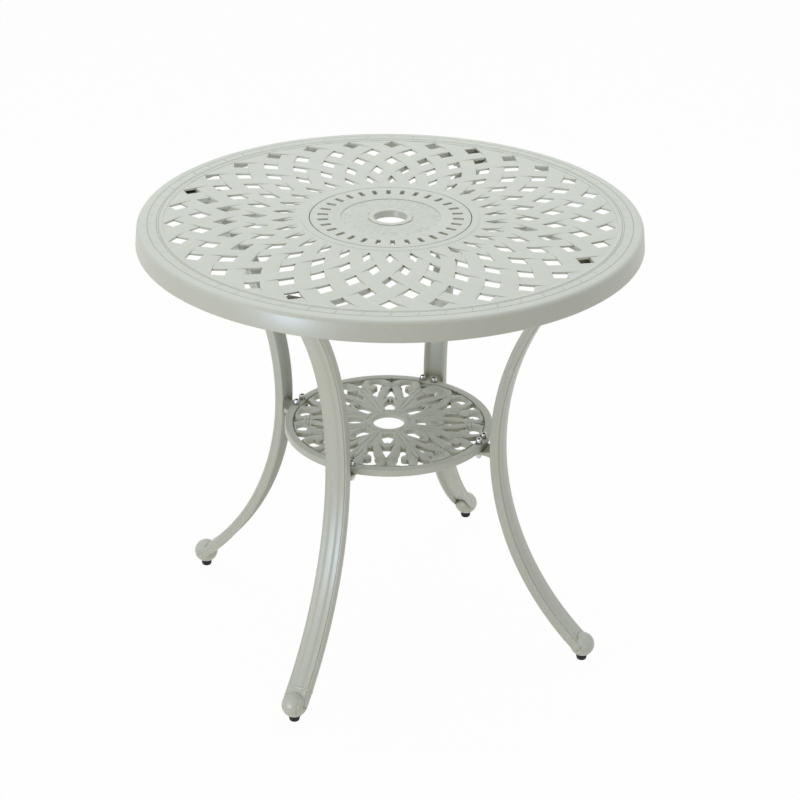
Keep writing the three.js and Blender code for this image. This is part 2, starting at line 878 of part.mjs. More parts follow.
function placedOncePerLeg(group, name, solid, finish, radius = 0) {
  for (let leg = 0; leg < legCount; leg += 1) {
    const arm = new THREE.Group();
    arm.rotation.z = leg * fullTurn / legCount;
    const mesh = makeMesh(`${name}_${leg + 1}`, solid, finish);
    mesh.position.x = radius;
    arm.add(mesh);
    group.add(arm);
  }
}

const table = new THREE.Group();
table.add(makeMesh('table_top', tableTop(), coat));
table.add(makeMesh('centre_disc', centreDisc(), coat));
table.add(makeMesh('shelf', shelf(), coat));
placedOncePerLeg(table, 'leg', leg(), coat);
placedOncePerLeg(table, 'glide', glide(), rubber, footRadius);
placedOncePerLeg(table, 'glide_stud', glideStud(), zinc, footRadius);
placedPairs(table, 'top_bolt', topBolt(), topBoltRadius, topBoltSpread, zinc);
placedPairs(table, 'top_washer', topWasher(), topBoltRadius, topBoltSpread, zinc);
placedPairs(table, 'shelf_screw', shelfScrew(), shelfScrewRadius, shelfScrewSpread, zinc);
placedPairs(table, 'shelf_washer', shelfWasher(), shelfScrewRadius, shelfScrewSpread, zinc);
placedPairs(table, 'shelf_cap_nut', shelfCapNut(), shelfScrewRadius, shelfScrewSpread, zinc);

export default table;
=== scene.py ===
import json
import math

import bmesh
import bpy
import numpy as np
from mathutils import Matrix, Vector

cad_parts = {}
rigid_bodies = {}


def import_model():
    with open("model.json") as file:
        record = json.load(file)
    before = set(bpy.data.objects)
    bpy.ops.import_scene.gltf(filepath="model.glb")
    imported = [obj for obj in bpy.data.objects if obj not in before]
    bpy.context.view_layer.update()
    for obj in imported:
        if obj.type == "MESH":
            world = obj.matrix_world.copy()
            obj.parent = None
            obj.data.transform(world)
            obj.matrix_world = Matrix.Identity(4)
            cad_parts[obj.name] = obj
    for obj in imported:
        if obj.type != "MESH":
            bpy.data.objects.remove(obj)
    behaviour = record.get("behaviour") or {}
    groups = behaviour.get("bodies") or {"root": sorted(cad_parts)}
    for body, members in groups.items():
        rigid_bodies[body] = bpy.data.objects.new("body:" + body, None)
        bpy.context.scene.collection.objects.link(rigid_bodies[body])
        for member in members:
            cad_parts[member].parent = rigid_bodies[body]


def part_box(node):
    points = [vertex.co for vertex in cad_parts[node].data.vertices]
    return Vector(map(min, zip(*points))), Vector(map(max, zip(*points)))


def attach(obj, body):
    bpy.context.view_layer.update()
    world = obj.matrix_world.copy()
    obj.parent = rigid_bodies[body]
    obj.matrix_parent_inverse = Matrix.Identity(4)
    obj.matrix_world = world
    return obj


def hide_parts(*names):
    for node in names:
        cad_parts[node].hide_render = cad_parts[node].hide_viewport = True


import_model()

MM = 0.001
FULL_TURN = 2 * math.pi
QUARTER_TURN = math.pi / 2
LEG_COUNT = 4

# Cuts run this far past the faces that they pass through
OVERRUN = 2.0
# Joined shapes run this far into each other, and blind holes past the face that they start in
SINK = 1.0
# Place of the middle point of an edge that is rounded with three points
ROUND_SHARE = 0.3
SHARP_DEGREES = 32.0


def limits(node):
    """Lowest and highest corner of a CAD node in millimetres."""
    low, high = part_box(node)
    return np.array(low) / MM, np.array(high) / MM


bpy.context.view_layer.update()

# Overall sizes, read from the frame
TABLE_HEIGHT = limits("table_top")[1][2]
TOP_RADIUS = limits("table_top")[1][0]
APRON_BOTTOM = limits("table_top")[0][2]
DISC_RADIUS = limits("centre_disc")[1][0]
DISC_BOTTOM = limits("centre_disc")[0][2]
SHELF_RADIUS = limits("shelf")[1][0]
SHELF_TOP = limits("shelf")[1][2]

# Casting of the top
DECK_THICKNESS = 4.0
BORDER_WIDTH = 44.0
APRON_WALL = 4.5
APRON_FLARE = 2.5
SHOULDER_RADIUS = 8.0
LIP_ROUNDING = 1.4
EDGE_ROUNDING = 0.8
APRON_FILLET = 5.0
BORDER_LINES = (363.2, 366.2, 380.5)
BORDER_LINE_WIDTH = 1.1
BORDER_LINE_DEPTH = 0.5
TICK_COUNT = 60
TICK_START_DEGREES = 0.4
TICK_SLANT_DEGREES = -0.75
TICK_INNER = 367.5
TICK_OUTER = 379.5
TICK_WIDTH = 2.0
TICK_DEPTH = 0.65
TICK_END = 0.6
TICK_ROWS = 5
TICK_COLUMN_SHARES = (-0.5, -0.3, 0.0, 0.3, 0.5)

# Lattice of the top
STRAP_PAIRS = 30
BORDER_TURN_DEGREES = 46.85
FIRST_CROSSING_TURN_DEGREES = 44.0
FIRST_CROSSING_AZIMUTH_DEGREES = 84.0
CROSSING_STEP_DEGREES = 6.0
STRAP_WIDTH_AT_BORDER = 29.5
STRAP_WIDTH_AT_SEAT = 19.0
STRAP_DROP = 0.6
WEAVE_LIFT = 0.45
STRAP_ROUNDING = 0.6
STRAP_CROWN = 0.12
STRAP_STEPS = 64
STRAP_TUCK = 2.0
RIB_DEPTH = 7.0
RIB_INSET = 1.0
RIB_EDGE = 1.0
RIB_TAPERS = (0.72, 1.68)
RIB_AZIMUTHS_DEGREES = (0.0, 96.0, 180.0, 276.0)

# Seat of the middle disc, and the disc
DISC_GAP = 0.9
SEAT_WALL_WIDTH = 13.0
SEAT_LEDGE_WIDTH = 9.5
SEAT_LEDGE_THICKNESS = 4.0
SEAT_GAP = 0.3
DISC_THICKNESS = 5.0
HOLE_RADIUS = 26.5
SOCKET_WALL = 5.5
COLLAR_WIDTH = 8.5
COLLAR_FLAT_INSETS = (2.5, 2.2)
COLLAR_SCALLOPS = 12
COLLAR_SCALLOP_DEPTH = 1.4
COLLAR_SCALLOP_REACH = 2.4
DISC_RING_RADIUS = 88.5
DISC_FIELD_RADIUS = 79.0
DISC_FIELD_DROP = 1.7
FIELD_INSETS = (1.5, 1.0)
FIELD_GRID = 0.75
HOLE_ROUNDING = 1.0
SOCKET_EDGE = 0.6
SOCKET_FILLET = 1.5
# Steps in the disc's upper face, as (outwards from the step's radius, drop below the table's top)
COLLAR_STEP = ((-1.2, 0.15), (-0.5, 0.6), (0.0, DISC_FIELD_DROP))
FIELD_STEP = ((-0.9, DISC_FIELD_DROP), (-0.3, DISC_FIELD_DROP - 0.15), (0.0, 0.75), (0.7, 0.5))
RING_STEP = ((-0.9, 0.5), (-0.3, 0.4), (0.5, 0.0))
SLOT_COUNT = 30
SLOT_TURN_DEGREES = 8.1
SLOT_RADIUS = 107.0
SLOT_LENGTH = 17.0
SLOT_WIDTH = 7.0
SLOT_ROUNDING = 1.6
SLOT_DRAFT = 1.9
SLOT_EDGE = 0.5

# Ornament of the disc: lobes, with a scroll and a stem on either side of them
PALMETTE_COUNT = 8
PALMETTE_POINTS = 30
PALMETTE_INSETS = (2.0, 3.5)
RELIEF_HEIGHT = 1.5
RELIEF_INSETS = (1.4, 1.2)
RELIEF_FADE = 2.0
LOBES = (-2, -1, 0, 1, 2)
LOBE_SHORTER_SHARE = 0.16
LOBE_LOWER_SHARE = 0.12
LOBE_SPREAD = 2.6
LOBE_FLARE = 5.0
LOBE_BEND = 1.7
LOBE_HALF_WIDTH = 2.1
SCROLL_START = 2.2
SCROLL_TURN = 1.7 * math.pi
SCROLL_RADIUS = 7.0
SCROLL_SHRINK_SHARE = 0.12
SCROLL_FLAT_SHARE = 0.9
SCROLL_INSET = 8.0
SCROLL_OFFSET = 20.5
SCROLL_HALF_WIDTH = 1.5
STEM_INSETS = (4.0, 14.0)
STEM_OFFSET = 13.5
STEM_LEAN = 7.0
STEM_WAVE = 1.8
STEM_WAVE_BEND = 6.0
STEM_HALF_WIDTH = 1.4
STEM_HEIGHT_SHARE = 0.8

# Legs
WAIST_RADIUS = 195.5
WAIST_HEIGHT = 378.0
FOOT_RADIUS = 356.5
LEG_DEPTH = 18.0
LEG_WIDTH = 39.0
LEG_TOP_SHARE = 0.93
LEG_STEPS = 60
EDGE_DROP = 4.5
# Half of the leg's outer face, as (drop below its middle, share of half the width)
LEG_FACE = (
    (0.0, 0.0), (0.06, 0.16), (0.2, 0.33), (0.75, 0.38), (1.0, 0.55), (1.15, 0.74),
    (1.3, 0.81), (2.6, 0.84), (2.65, 0.87), (2.7, 0.93), (3.3, 0.985), (EDGE_DROP, 1.0),
)
LEG_EDGE = 1.0
CHANNEL_DEPTH = 8.0
CHANNEL_WALL = 4.0
# Bends of the channel's wall, as (outwards, across) from its lip and from the corner of its floor
CHANNEL_LIP = ((0.0, 0.8), (0.5, 0.0))
CHANNEL_FLOOR = ((-1.5, 1.0), (-0.4, -0.6), (0.0, -2.5))
GROOVE_DEPTH = 0.5
GROOVE_WIDTH = 4.0
GROOVE_SHARES = ((0.0, 0.0), (0.35, 0.9), (0.5, 1.0), (0.65, 0.9), (1.0, 0.0))
FOOT_BALL_RADIUS = 20.3
FOOT_BALL_WIDTH = 37.0
FOOT_CENTER_HEIGHT = 28.5
FOOT_FLAT_HEIGHT = 10.3
# The button on each side of the ball, as (radius, drop below the side), and the ring groove
BALL_BUTTON = ((0.0, 0.0), (2.6, 0.0), (3.6, 0.5), (4.2, 1.1), (5.0, 0.8), (6.0, 0.35))
BALL_POINT_GAP = 0.3
BALL_STEPS = 17
BALL_GROOVE_PLACE = 12.2
BALL_GROOVE_HALF_WIDTH = 0.9
BALL_GROOVE_DEPTH = 1.1
BEAD_REACH = 24.5
BEAD_LENGTH = 4.5
BEAD_HEIGHT = 0.5
BEAD_STEPS = 8
BEAD_FACE = ((0.0, 0.3), (0.8, 0.6), (1.9, 0.83), (3.3, 0.95), (5.2, 1.0))
BEAD_EDGE = 0.6
BEAD_WALL = 2.0
BEAD_INSIDE = 2.0
BEAD_INSIDE_WALL = 8.5
FLANGE_THICKNESS = 7.0
FLANGE_WIDTH = 46.0
FLANGE_SPAN = 28.0
FLANGE_INNER_REACH = 32.0
FLANGE_OUTER_REACH = 16.0
FLANGE_CORNER = 9.0
FLANGE_INNER_CORNER = 2.0
LUG_WIDTH = 34.0
LUG_REACH = 39.0
LUG_THICKNESS = 6.0
LUG_FLAT_REACH = 18.0
LUG_ROOT_DROP = 5.0
LUG_ROOT_RISE = 9.0
LUG_ROOT_GAP = 1.5
LUG_ROOT_POWER = 2.2
LUG_ROOT_STEPS = 7

# Fasteners
BOSS_HEIGHT = 11.0
BOSS_RADIUS = 9.0
BOSS_EDGE = 0.7
BOSS_FILLET = 2.5
TOP_BOLT_INSET = 30.0
TOP_BOLT_SPREAD = 28.0
TOP_BOLT_SHANK = 3.0
TOP_BOLT_HEAD = 5.6
TOP_BOLT_HEAD_HEIGHT = 4.0
TOP_BOLT_BITE = 9.0
TOP_WASHER_RADIUS = 7.0
TOP_WASHER_THICKNESS = 1.4
SHELF_SCREW_RADIUS = 165.0
SHELF_SCREW_SPREAD = 21.0
SCREW_SHANK = 3.0
SCREW_HEAD = 5.0
SCREW_HEAD_HEIGHT = 6.0
SCREW_SOCKET = 2.9
SCREW_SOCKET_DEPTH = 3.0
SCREW_HEAD_FOOT_EDGE = 0.2
SCREW_HEAD_EDGE = ((0.0, 0.6), (0.2, 0.2), (0.7, 0.0))
# Chamfer at the mouth of the socket, as (outwards, up) from its corner
SOCKET_CHAMFER = ((-0.3, -0.5), (0.4, 0.2))
SHELF_WASHER_RADIUS = 6.0
SHELF_WASHER_THICKNESS = 1.2
WASHER_EDGE = 0.25
HEX_CHAMFER = 0.7
HEX_CHAMFER_REACH = 0.45
HEX_FLAT_SHARE = math.cos(math.pi / 6)
HEAD_SINK = 0.5
CAP_NUT_HEX = 5.8
CAP_NUT_HEX_HEIGHT = 5.0
CAP_NUT_DOME_HEIGHT = 4.5
CAP_NUT_DOME_STEP = 0.4
SCREW_BITE = 5.0
BOLT_GAP = 0.35
THREAD_PITCH = 1.0
THREAD_DEPTH = 0.35
THREAD_STEPS = 6

# Shelf
SHELF_RIM_WIDTH = 13.5
SHELF_RIM_THICKNESS = 12.0
SHELF_RIM_ROUNDING = 2.4
SHELF_HOLE_RADIUS = 25.5
SHELF_HUB_ROUNDING = 2.8
SHELF_HUB_DROP = 0.3
SHELF_PLATE_DEPTH = 9.4
SHELF_CREASE = 4.6
SHELF_GRID = 0.8
SHELF_LINE_DROP = 2.6
SHELF_LINE_WIDTH = 0.9
SHELF_LINE_SLOPE = 1.6
LEAF_COUNT = 8

# Glides
GLIDE_TOP = 9.5
GLIDE_BOTTOM = 8.4
GLIDE_EDGE = 2.6
GLIDE_SHOULDER = ((0.2, 2.2), (0.0, 1.6), (0.0, 0.7), (0.7, 0.0))
STUD_RADIUS = 4.0
STUD_LENGTH = 22.0
STUD_IN_GLIDE = 5.0
STUD_BORE_DEPTH = 25.0

# Points round turned shapes. Cap nuts have those of the washers
SEAT_FACETS = 240
DISC_FACETS = 720
SHELF_FACETS = 1024
SHELF_RIM_FACETS = 256
BOSS_FACETS = 32
BORE_FACETS = 24
BALL_FACETS = 56
THREAD_FACETS = 24
HEAD_FACETS = 40
SOCKET_FACETS = 32
WASHER_FACETS = 36
HEX_FACETS = 48
GLIDE_FACETS = 48

# Camera, in the photograph's frame of 800 by 800 pixels
CAMERA_DISTANCE = 2944.36
CAMERA_HEIGHT = 1892.1
CAMERA_AZIMUTH_DEGREES = -65.85
CAMERA_PITCH_DEGREES = 26.77
CAMERA_YAW_DEGREES = 0.353
CAMERA_ROLL_DEGREES = 0.656
FOCAL_PIXELS = 2004.68
PHOTO_PIXELS = 800
SENSOR_WIDTH = 36.0
CLIP_END = 100.0

# Stage. The floor lies below the lowest reach of the glides, so that it never hides them, and this share
# of it is plain white to the camera
FLOOR_DROP = 8.5
FLOOR_REACH = 20000.0
FLOOR_WHITE_SHARE = 0.97
SURROUND_COLOR = (1.0, 0.98, 0.945, 1.0)
SURROUND_STRENGTH = 0.51
# Lamps: name, place to the right, away and up as the camera sees it, height of the target, size in metres,
# power in watts, colour, and whether it lights surfaces or only shows in their gloss
LAMPS = (
    ("overhead_softbox", (0, 500, 2600), TABLE_HEIGHT / 2, (2.6, 2.2), 25, (0.92, 0.98, 1.0), True),
    ("left_softbox", (-1900, -1500, 1300), TABLE_HEIGHT / 2, (1.2, 1.8), 12, (1.0, 0.99, 0.96), True),
    ("low_reflector", (-1284, -1616, 330), TABLE_HEIGHT, (0.55, 0.5), 20, (0.62, 0.78, 1.0), False),
)

# Materials. A noise is (cycles for each metre, detail, roughness), a ramp is a row of (place, colour), a
# span is (from low, from high, to low, to high), a bump is (strength, distance in metres) and a painted
# shade is (reach in metres, ramp from closed to open), which darkens the colour near other surfaces as
# shade would
SHADER = "Principled BSDF"
WHITE = (1.0, 1.0, 1.0)
HOLLOW_SAMPLES = 12
COAT_BROAD_NOISE = (9.0, 3.0, 0.6)
COAT_FINE_NOISE = (240.0, 3.0, 0.6)
COAT_PEEL_NOISE = (900.0, 2.0, 0.5)
COAT_CAST_NOISE = (60.0, 2.0, 0.5)
COAT_TONES = ((0.3, (0.568, 0.597, 0.547)), (0.7, (0.6, 0.63, 0.579)))
COAT_SPECKS = ((0.35, (0.55, 0.578, 0.528)), (0.65, (0.612, 0.643, 0.592)))
COAT_SPECK_SHARE = 0.35
# Painted shade on the coat: colour darkened in creases, grooves and joints within 4 mm of other surfaces
COAT_CREVICE_SHADE = (0.004, ((0.0, (0.15, 0.15, 0.13)), (0.5, (0.68, 0.66, 0.6)), (0.9, WHITE)))
# Painted shade on the coat: colour darkened to a warm olive on hole walls and in deep gaps within 20 mm
COAT_HOLLOW_SHADE = (0.02, ((0.0, (0.52, 0.5, 0.38)), (0.5, (0.5, 0.48, 0.36)), (0.84, WHITE)))
COAT_ROUGHNESS = (0.3, 0.7, 0.31, 0.39)
COAT_CAST_BUMP = (0.2, 0.0004)
COAT_PEEL_BUMP = (0.1, 0.0001)
STEEL_GRAIN_NOISE = (300.0, 3.0, 0.6)
STEEL_GRAIN_STRETCH = (1.0, 1.0, 12.0)
STEEL_STAIN_NOISE = (180.0, 3.0, 0.6)
STEEL_TONES = ((0.3, (0.5, 0.5, 0.49)), (0.7, (0.72, 0.72, 0.71)))
# Painted shade on the steel: colour darkened in the screw sockets and other hollows within 5 mm
STEEL_HOLLOW_SHADE = (0.005, ((0.35, (0.03, 0.03, 0.03)), (0.6, (0.35, 0.34, 0.32)), (0.85, WHITE)))
STEEL_ROUGHNESS = (0.3, 0.7, 0.2, 0.36)
STEEL_BUMP = (0.25, 0.00005)
PLASTIC_GRAIN_NOISE = (1500.0, 2.0, 0.5)
PLASTIC_DUST_NOISE = (120.0, 3.0, 0.6)
PLASTIC_TONES = ((0.4, (0.006, 0.006, 0.006)), (0.75, (0.014, 0.0135, 0.013)))
PLASTIC_SPECULAR = 0.25
PLASTIC_ROUGHNESS = (0.3, 0.7, 0.42, 0.58)
PLASTIC_BUMP = (0.2, 0.00005)
FLOOR_NOISE = (3.0, 2.0, 0.5)
FLOOR_TONES = ((0.3, (0.93, 0.9, 0.84)), (0.7, (0.95, 0.92, 0.86)))
FLOOR_ROUGHNESS = 0.9

# Sizes that follow
FINE_EDGE = EDGE_ROUNDING / 2
TICK_MIDDLE = (TICK_INNER + TICK_OUTER) / 2
TICK_PITCH = FULL_TURN / TICK_COUNT
COLLAR_RADIUS = HOLE_RADIUS + COLLAR_WIDTH
DECK_BOTTOM = TABLE_HEIGHT - DECK_THICKNESS
BORDER_INNER = TOP_RADIUS - BORDER_WIDTH
SEAT_RADIUS = DISC_RADIUS + DISC_GAP
SEAT_OUTER = SEAT_RADIUS + SEAT_WALL_WIDTH
LEDGE_INNER = SEAT_RADIUS - SEAT_LEDGE_WIDTH
LEDGE_TOP = TABLE_HEIGHT - DISC_THICKNESS - SEAT_GAP
LEDGE_BOTTOM = LEDGE_TOP - SEAT_LEDGE_THICKNESS
STRAP_CIRCLE = BORDER_INNER / math.sin(math.radians(BORDER_TURN_DEGREES))
BOSS_BOTTOM = DECK_BOTTOM - BOSS_HEIGHT
FLANGE_TOP = BOSS_BOTTOM - SEAT_GAP
FLANGE_BOTTOM = FLANGE_TOP - FLANGE_THICKNESS
TOP_BOLT_RADIUS = TOP_RADIUS - TOP_BOLT_INSET
LEG_TOP_RADIUS = TOP_BOLT_RADIUS - FLANGE_SPAN
SHELF_BOTTOM = SHELF_TOP - SHELF_RIM_THICKNESS
SHELF_INNER = SHELF_RADIUS - SHELF_RIM_WIDTH
LUG_TOP = SHELF_BOTTOM - SEAT_GAP
NUT_SEAT = LUG_TOP - LUG_THICKNESS - SEAT_GAP


class Skin:
    """Points and faces of one closed skin, in millimetres."""

    def __init__(self):
        self.points = np.zeros((0, 3))
        self.faces = []

    def grid(self, rows, wrap_rows=False, wrap_columns=False):
        """Adds a grid of points with a face between each four neighbours, and returns their indices."""
        rows = np.asarray(rows, float)
        count, width = rows.shape[:2]
        index = np.arange(count * width).reshape(count, width) + len(self.points)
        self.points = np.vstack([self.points, rows.reshape(-1, 3)])
        right = np.roll(index, -1, axis=1)
        below = np.roll(index, -1, axis=0)
        corners = np.stack([index, right, np.roll(right, -1, axis=0), below], axis=-1)
        corners = corners[: None if wrap_rows else -1, : None if wrap_columns else -1]
        self.faces += corners.reshape(-1, 4).tolist()
        return index

    def moved(self, matrix):
        """A copy of the skin, moved by a 4 by 4 matrix."""
        copy = Skin()
        copy.points = self.points @ matrix[:3, :3].T + matrix[:3, 3]
        copy.faces = self.faces
        return copy


def turn_z(angle):
    return np.array(Matrix.Rotation(angle, 4, "Z"))


def shift(x, y, z=0.0):
    return np.array(Matrix.Translation((x, y, z)))


def moved_all(skins, matrix):
    return [skin.moved(matrix) for skin in skins]


def even_angles(count):
    return np.arange(count) * FULL_TURN / count


def from_middle(angle, pitch):
    """Angle from the middle of the nearest of equal sectors."""
    return (angle + pitch / 2) % pitch - pitch / 2


def polar(radius, angle, height):
    """XYZ points of radii, angles and heights."""
    return np.stack(np.broadcast_arrays(radius * np.cos(angle), radius * np.sin(angle), height), -1)


def tube(rows):
    """A skin through rings of points, closed at both ends."""
    skin = Skin()
    index = skin.grid(rows, wrap_columns=True)
    skin.faces += [index[0].tolist(), index[-1].tolist()]
    return skin


def lathe(profile, angles, shape=None):
    """A closed profile of radius and height turned about Z. shape changes (radius, angle, height) grids."""
    profile = np.asarray(profile, float)
    angle, radius = np.meshgrid(angles, profile[:, 0], indexing="ij")
    height = np.broadcast_to(profile[:, 1], radius.shape)
    if shape:
        radius, angle, height = shape(radius, angle, height)
    skin = Skin()
    skin.grid(polar(radius, angle, height), wrap_rows=True, wrap_columns=True)
    return skin


def solid_lathe(profile, facets):
    """A profile that starts and ends on the Z axis turned into a solid with one point at each end."""
    profile = np.asarray(profile, float)
    radius, angle = np.meshgrid(profile[1:-1, 0], even_angles(facets), indexing="ij")
    skin = Skin()
    index = skin.grid(polar(radius, angle, profile[1:-1, 1:]), wrap_columns=True)
    for ring, height in ((index[0], profile[0, 1]), (index[-1], profile[-1, 1])):
        tip = len(skin.points)
        skin.points = np.vstack([skin.points, [[0.0, 0.0, height]]])
        skin.faces += [[int(a), int(b), tip] for a, b in zip(ring, np.roll(ring, -1))]
    return skin


def bore(radius, bottom, top):
    return solid_lathe([(0, bottom), (radius, bottom), (radius, top), (0, top)], BORE_FACETS)


def inset_outline(outline, inset):
    """Moves each point of a closed outline inwards, square to the outline there."""
    if not inset:
        return outline
    ahead = np.roll(outline, -1, axis=0) - outline
    behind = outline - np.roll(outline, 1, axis=0)
    ahead /= np.linalg.norm(ahead, axis=1)[:, None]
    behind /= np.linalg.norm(behind, axis=1)[:, None]
    way = ahead + behind
    way /= np.linalg.norm(way, axis=1)[:, None]
    normal = np.column_stack([-way[:, 1], way[:, 0]])
    area = np.sum(outline[:, 0] * np.roll(outline[:, 1], -1) - np.roll(outline[:, 0], -1) * outline[:, 1])
    return outline + normal * inset * (1 if area > 0 else -1)


def stacked(outline, levels):
    """A solid through copies of an XY outline, one for each (inset, height)."""
    outline = np.asarray(outline, float)
    rows = []
    for inset, height in levels:
        ring = inset_outline(outline, inset)
        rows.append(np.column_stack([ring, np.full(len(ring), height)]))
    return tube(rows)


def prism(outline, bottom, top):
    return stacked(outline, ((0.0, bottom), (0.0, top)))


def mirrored(half):
    """Points of half an outline, in backward order on the other side of the first axis."""
    return [(x, -y) for x, y in reversed(half)]


def arc(center, radius, start_degrees, end_degrees, steps):
    """Points of an arc as (x, y) pairs."""
    angles = np.radians(np.linspace(start_degrees, end_degrees, steps + 1))
    return [(center[0] + radius * math.cos(a), center[1] + radius * math.sin(a)) for a in angles]


def groove(radius, height, width, depth):
    """Points of a rounded groove in a profile that runs outwards."""
    return [
        (radius - width / 2, height),
        (radius - width / 4, height - depth * 0.8),
        (radius, height - depth),
        (radius + width / 4, height - depth * 0.8),
        (radius + width / 2, height),
    ]


def object_of(name, skin):
    """A Blender object in metres of one skin, with its faces pointing out."""
    mesh = bpy.data.meshes.new(name)
    mesh.from_pydata((skin.points * MM).tolist(), [], skin.faces)
    work = bmesh.new()
    work.from_mesh(mesh)
    bmesh.ops.recalc_face_normals(work, faces=work.faces)
    work.to_mesh(mesh)
    work.free()
    return bpy.data.objects.new(name, mesh)


def apply_boolean(body, skins, operation):
    """Joins skins to a Blender object, or cuts them out of it."""
    tools = bpy.data.collections.new("tools")
    bpy.context.scene.collection.children.link(tools)
    for number, skin in enumerate(skins):
        tools.objects.link(object_of(f"tool_{number}", skin))
    modifier = body.modifiers.new("boolean", "BOOLEAN")
    modifier.operation = operation
    modifier.operand_type = "COLLECTION"
    modifier.collection = tools
    modifier.solver = "MANIFOLD"
    graph = bpy.context.evaluated_depsgraph_get()
    mesh = bpy.data.meshes.new_from_object(body.evaluated_get(graph))
    body.modifiers.clear()
    body.data = mesh
    for tool in list(tools.objects):
        bpy.data.objects.remove(tool)
    bpy.data.collections.remove(tools)


def make_piece(name, body, node, material, skins, cuts=()):
    """One visible piece that stands for a CAD node: its skins joined, its cuts taken out."""
    piece = object_of(name, skins[0])
    bpy.context.scene.collection.objects.link(piece)
    if len(skins) > 1:
        apply_boolean(piece, skins[1:], "UNION")
    if cuts:
        apply_boolean(piece, cuts, "DIFFERENCE")
    piece.data.name = name
    for polygon in piece.data.polygons:
        polygon.use_smooth = True
    piece.data.set_sharp_from_angle(angle=math.radians(SHARP_DEGREES))
    piece.data.materials.clear()
    piece.data.materials.append(material)
    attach(piece, body)
    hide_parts(node)


# Top casting

def strap_width(radius):
    share = (radius - SEAT_OUTER) / (BORDER_INNER - SEAT_OUTER)
    return STRAP_WIDTH_AT_SEAT + (STRAP_WIDTH_AT_BORDER - STRAP_WIDTH_AT_SEAT) * share


def strap_rows(azimuth_degrees, family, section):
    """Rings along a strap that crosses its first ring of crossings at an azimuth.

    section gives, for a strap's half width and lift, points across it as (share of the half width, height).
    """
    inner = math.asin((SEAT_OUTER - STRAP_TUCK) / STRAP_CIRCLE)
    outer = math.asin((BORDER_INNER + STRAP_TUCK) / STRAP_CIRCLE)
    first_turn = math.radians(FIRST_CROSSING_TURN_DEGREES)
    start = math.radians(azimuth_degrees) - family * first_turn
    rows = []
    for turn in np.linspace(inner, outer, STRAP_STEPS + 1):
        radius = STRAP_CIRCLE * math.sin(turn)
        half_width = strap_width(radius) / 2
        half_angle = half_width / (radius * math.cos(turn))
        crossing = (turn - first_turn) / math.radians(CROSSING_STEP_DEGREES)
        lift = family * WEAVE_LIFT * math.cos(math.pi * crossing)
        ring = []
        for share, height in section(half_width, lift):
            angle = start + family * turn + share * half_angle
            ring.append((radius * math.cos(angle), radius * math.sin(angle), height))
        rows.append(ring)
    return rows


def strap_section(half_width, lift):
    """Flat strap with rounded upper edges and a slight crown."""
    face = TABLE_HEIGHT - STRAP_DROP + lift
    edge = STRAP_ROUNDING / half_width
    side = [
        (1.0, face - STRAP_ROUNDING),
        (1 - ROUND_SHARE * edge, face - ROUND_SHARE * STRAP_ROUNDING),
        (1 - edge, face),
    ]
    crown = [(share, face + STRAP_CROWN * (1 - share**2)) for share in (0.5, 0.0, -0.5)]
    other_side = [(-share, height) for share, height in reversed(side)]
    return side + crown + other_side + [(-1 + edge / 2, DECK_BOTTOM), (1 - edge / 2, DECK_BOTTOM)]


def rib_section(half_width, lift):
    """Stiffening rib under a strap, narrower than the strap and tapered downwards. It has no lift."""
    low = DECK_BOTTOM - RIB_DEPTH
    share = 1 - RIB_INSET / half_width
    right = [(share, DECK_BOTTOM + RIB_EDGE), (share, DECK_BOTTOM - RIB_EDGE)]
    for taper, height in zip(RIB_TAPERS, (low + RIB_EDGE, low)):
        right.append((share - taper / half_width, height))
    left = [(-share, height) for share, height in right]
    return right[:1] + left + right[:0:-1]


def border_profile():
    """Flat border with fine lines, rounded shoulder and hanging apron."""
    edge = TOP_RADIUS - APRON_FLARE
    lip = APRON_BOTTOM + LIP_ROUNDING
    top = arc((BORDER_INNER + EDGE_ROUNDING, TABLE_HEIGHT - EDGE_ROUNDING), EDGE_ROUNDING, 135, 90, 1)
    for line in BORDER_LINES:
        top += groove(line, TABLE_HEIGHT, BORDER_LINE_WIDTH, BORDER_LINE_DEPTH)
    tick_rows = np.linspace(TICK_INNER + TICK_END, TICK_OUTER - TICK_END, TICK_ROWS)
    top = sorted(top + [(float(radius), TABLE_HEIGHT) for radius in tick_rows])
    return [
        (BORDER_INNER, DECK_BOTTOM),
        *top,
        *arc((edge - SHOULDER_RADIUS, TABLE_HEIGHT - SHOULDER_RADIUS), SHOULDER_RADIUS, 90, 0, 10),
        *arc((TOP_RADIUS - LIP_ROUNDING, lip), LIP_ROUNDING, 0, -90, 4),
        *arc((TOP_RADIUS - APRON_WALL + LIP_ROUNDING, lip), LIP_ROUNDING, -90, -180, 4),
        *arc((edge - APRON_WALL - APRON_FILLET, DECK_BOTTOM - APRON_FILLET), APRON_FILLET, 0, 90, 5),
    ]


def border_angles():
    """Columns round the border, close together at each slanted mark."""
    near = np.array(TICK_COLUMN_SHARES) * TICK_WIDTH / TICK_MIDDLE
    far = np.linspace(near[-1], near[0] + TICK_PITCH, 6)[1:-1]
    sector = math.radians(TICK_START_DEGREES) + np.concatenate([near, far])
    return np.concatenate([sector + number * TICK_PITCH for number in range(TICK_COUNT)])


def shape_border(radius, angle, height):
    """Slants the columns across the band of marks, and sinks the marks."""
    share = np.clip((radius - TICK_INNER) / (TICK_OUTER - TICK_INNER), 0, 1)
    place = from_middle(angle - math.radians(TICK_START_DEGREES), TICK_PITCH)
    across = np.clip(1 - np.abs(place * TICK_MIDDLE) / (TICK_WIDTH / 2), 0, 1)
    inside = (radius > TICK_INNER) & (radius < TICK_OUTER) & (height > TABLE_HEIGHT - BORDER_LINE_DEPTH)
    sunk = height - TICK_DEPTH * across * inside
    return radius, angle + math.radians(TICK_SLANT_DEGREES) * (share - 0.5), sunk


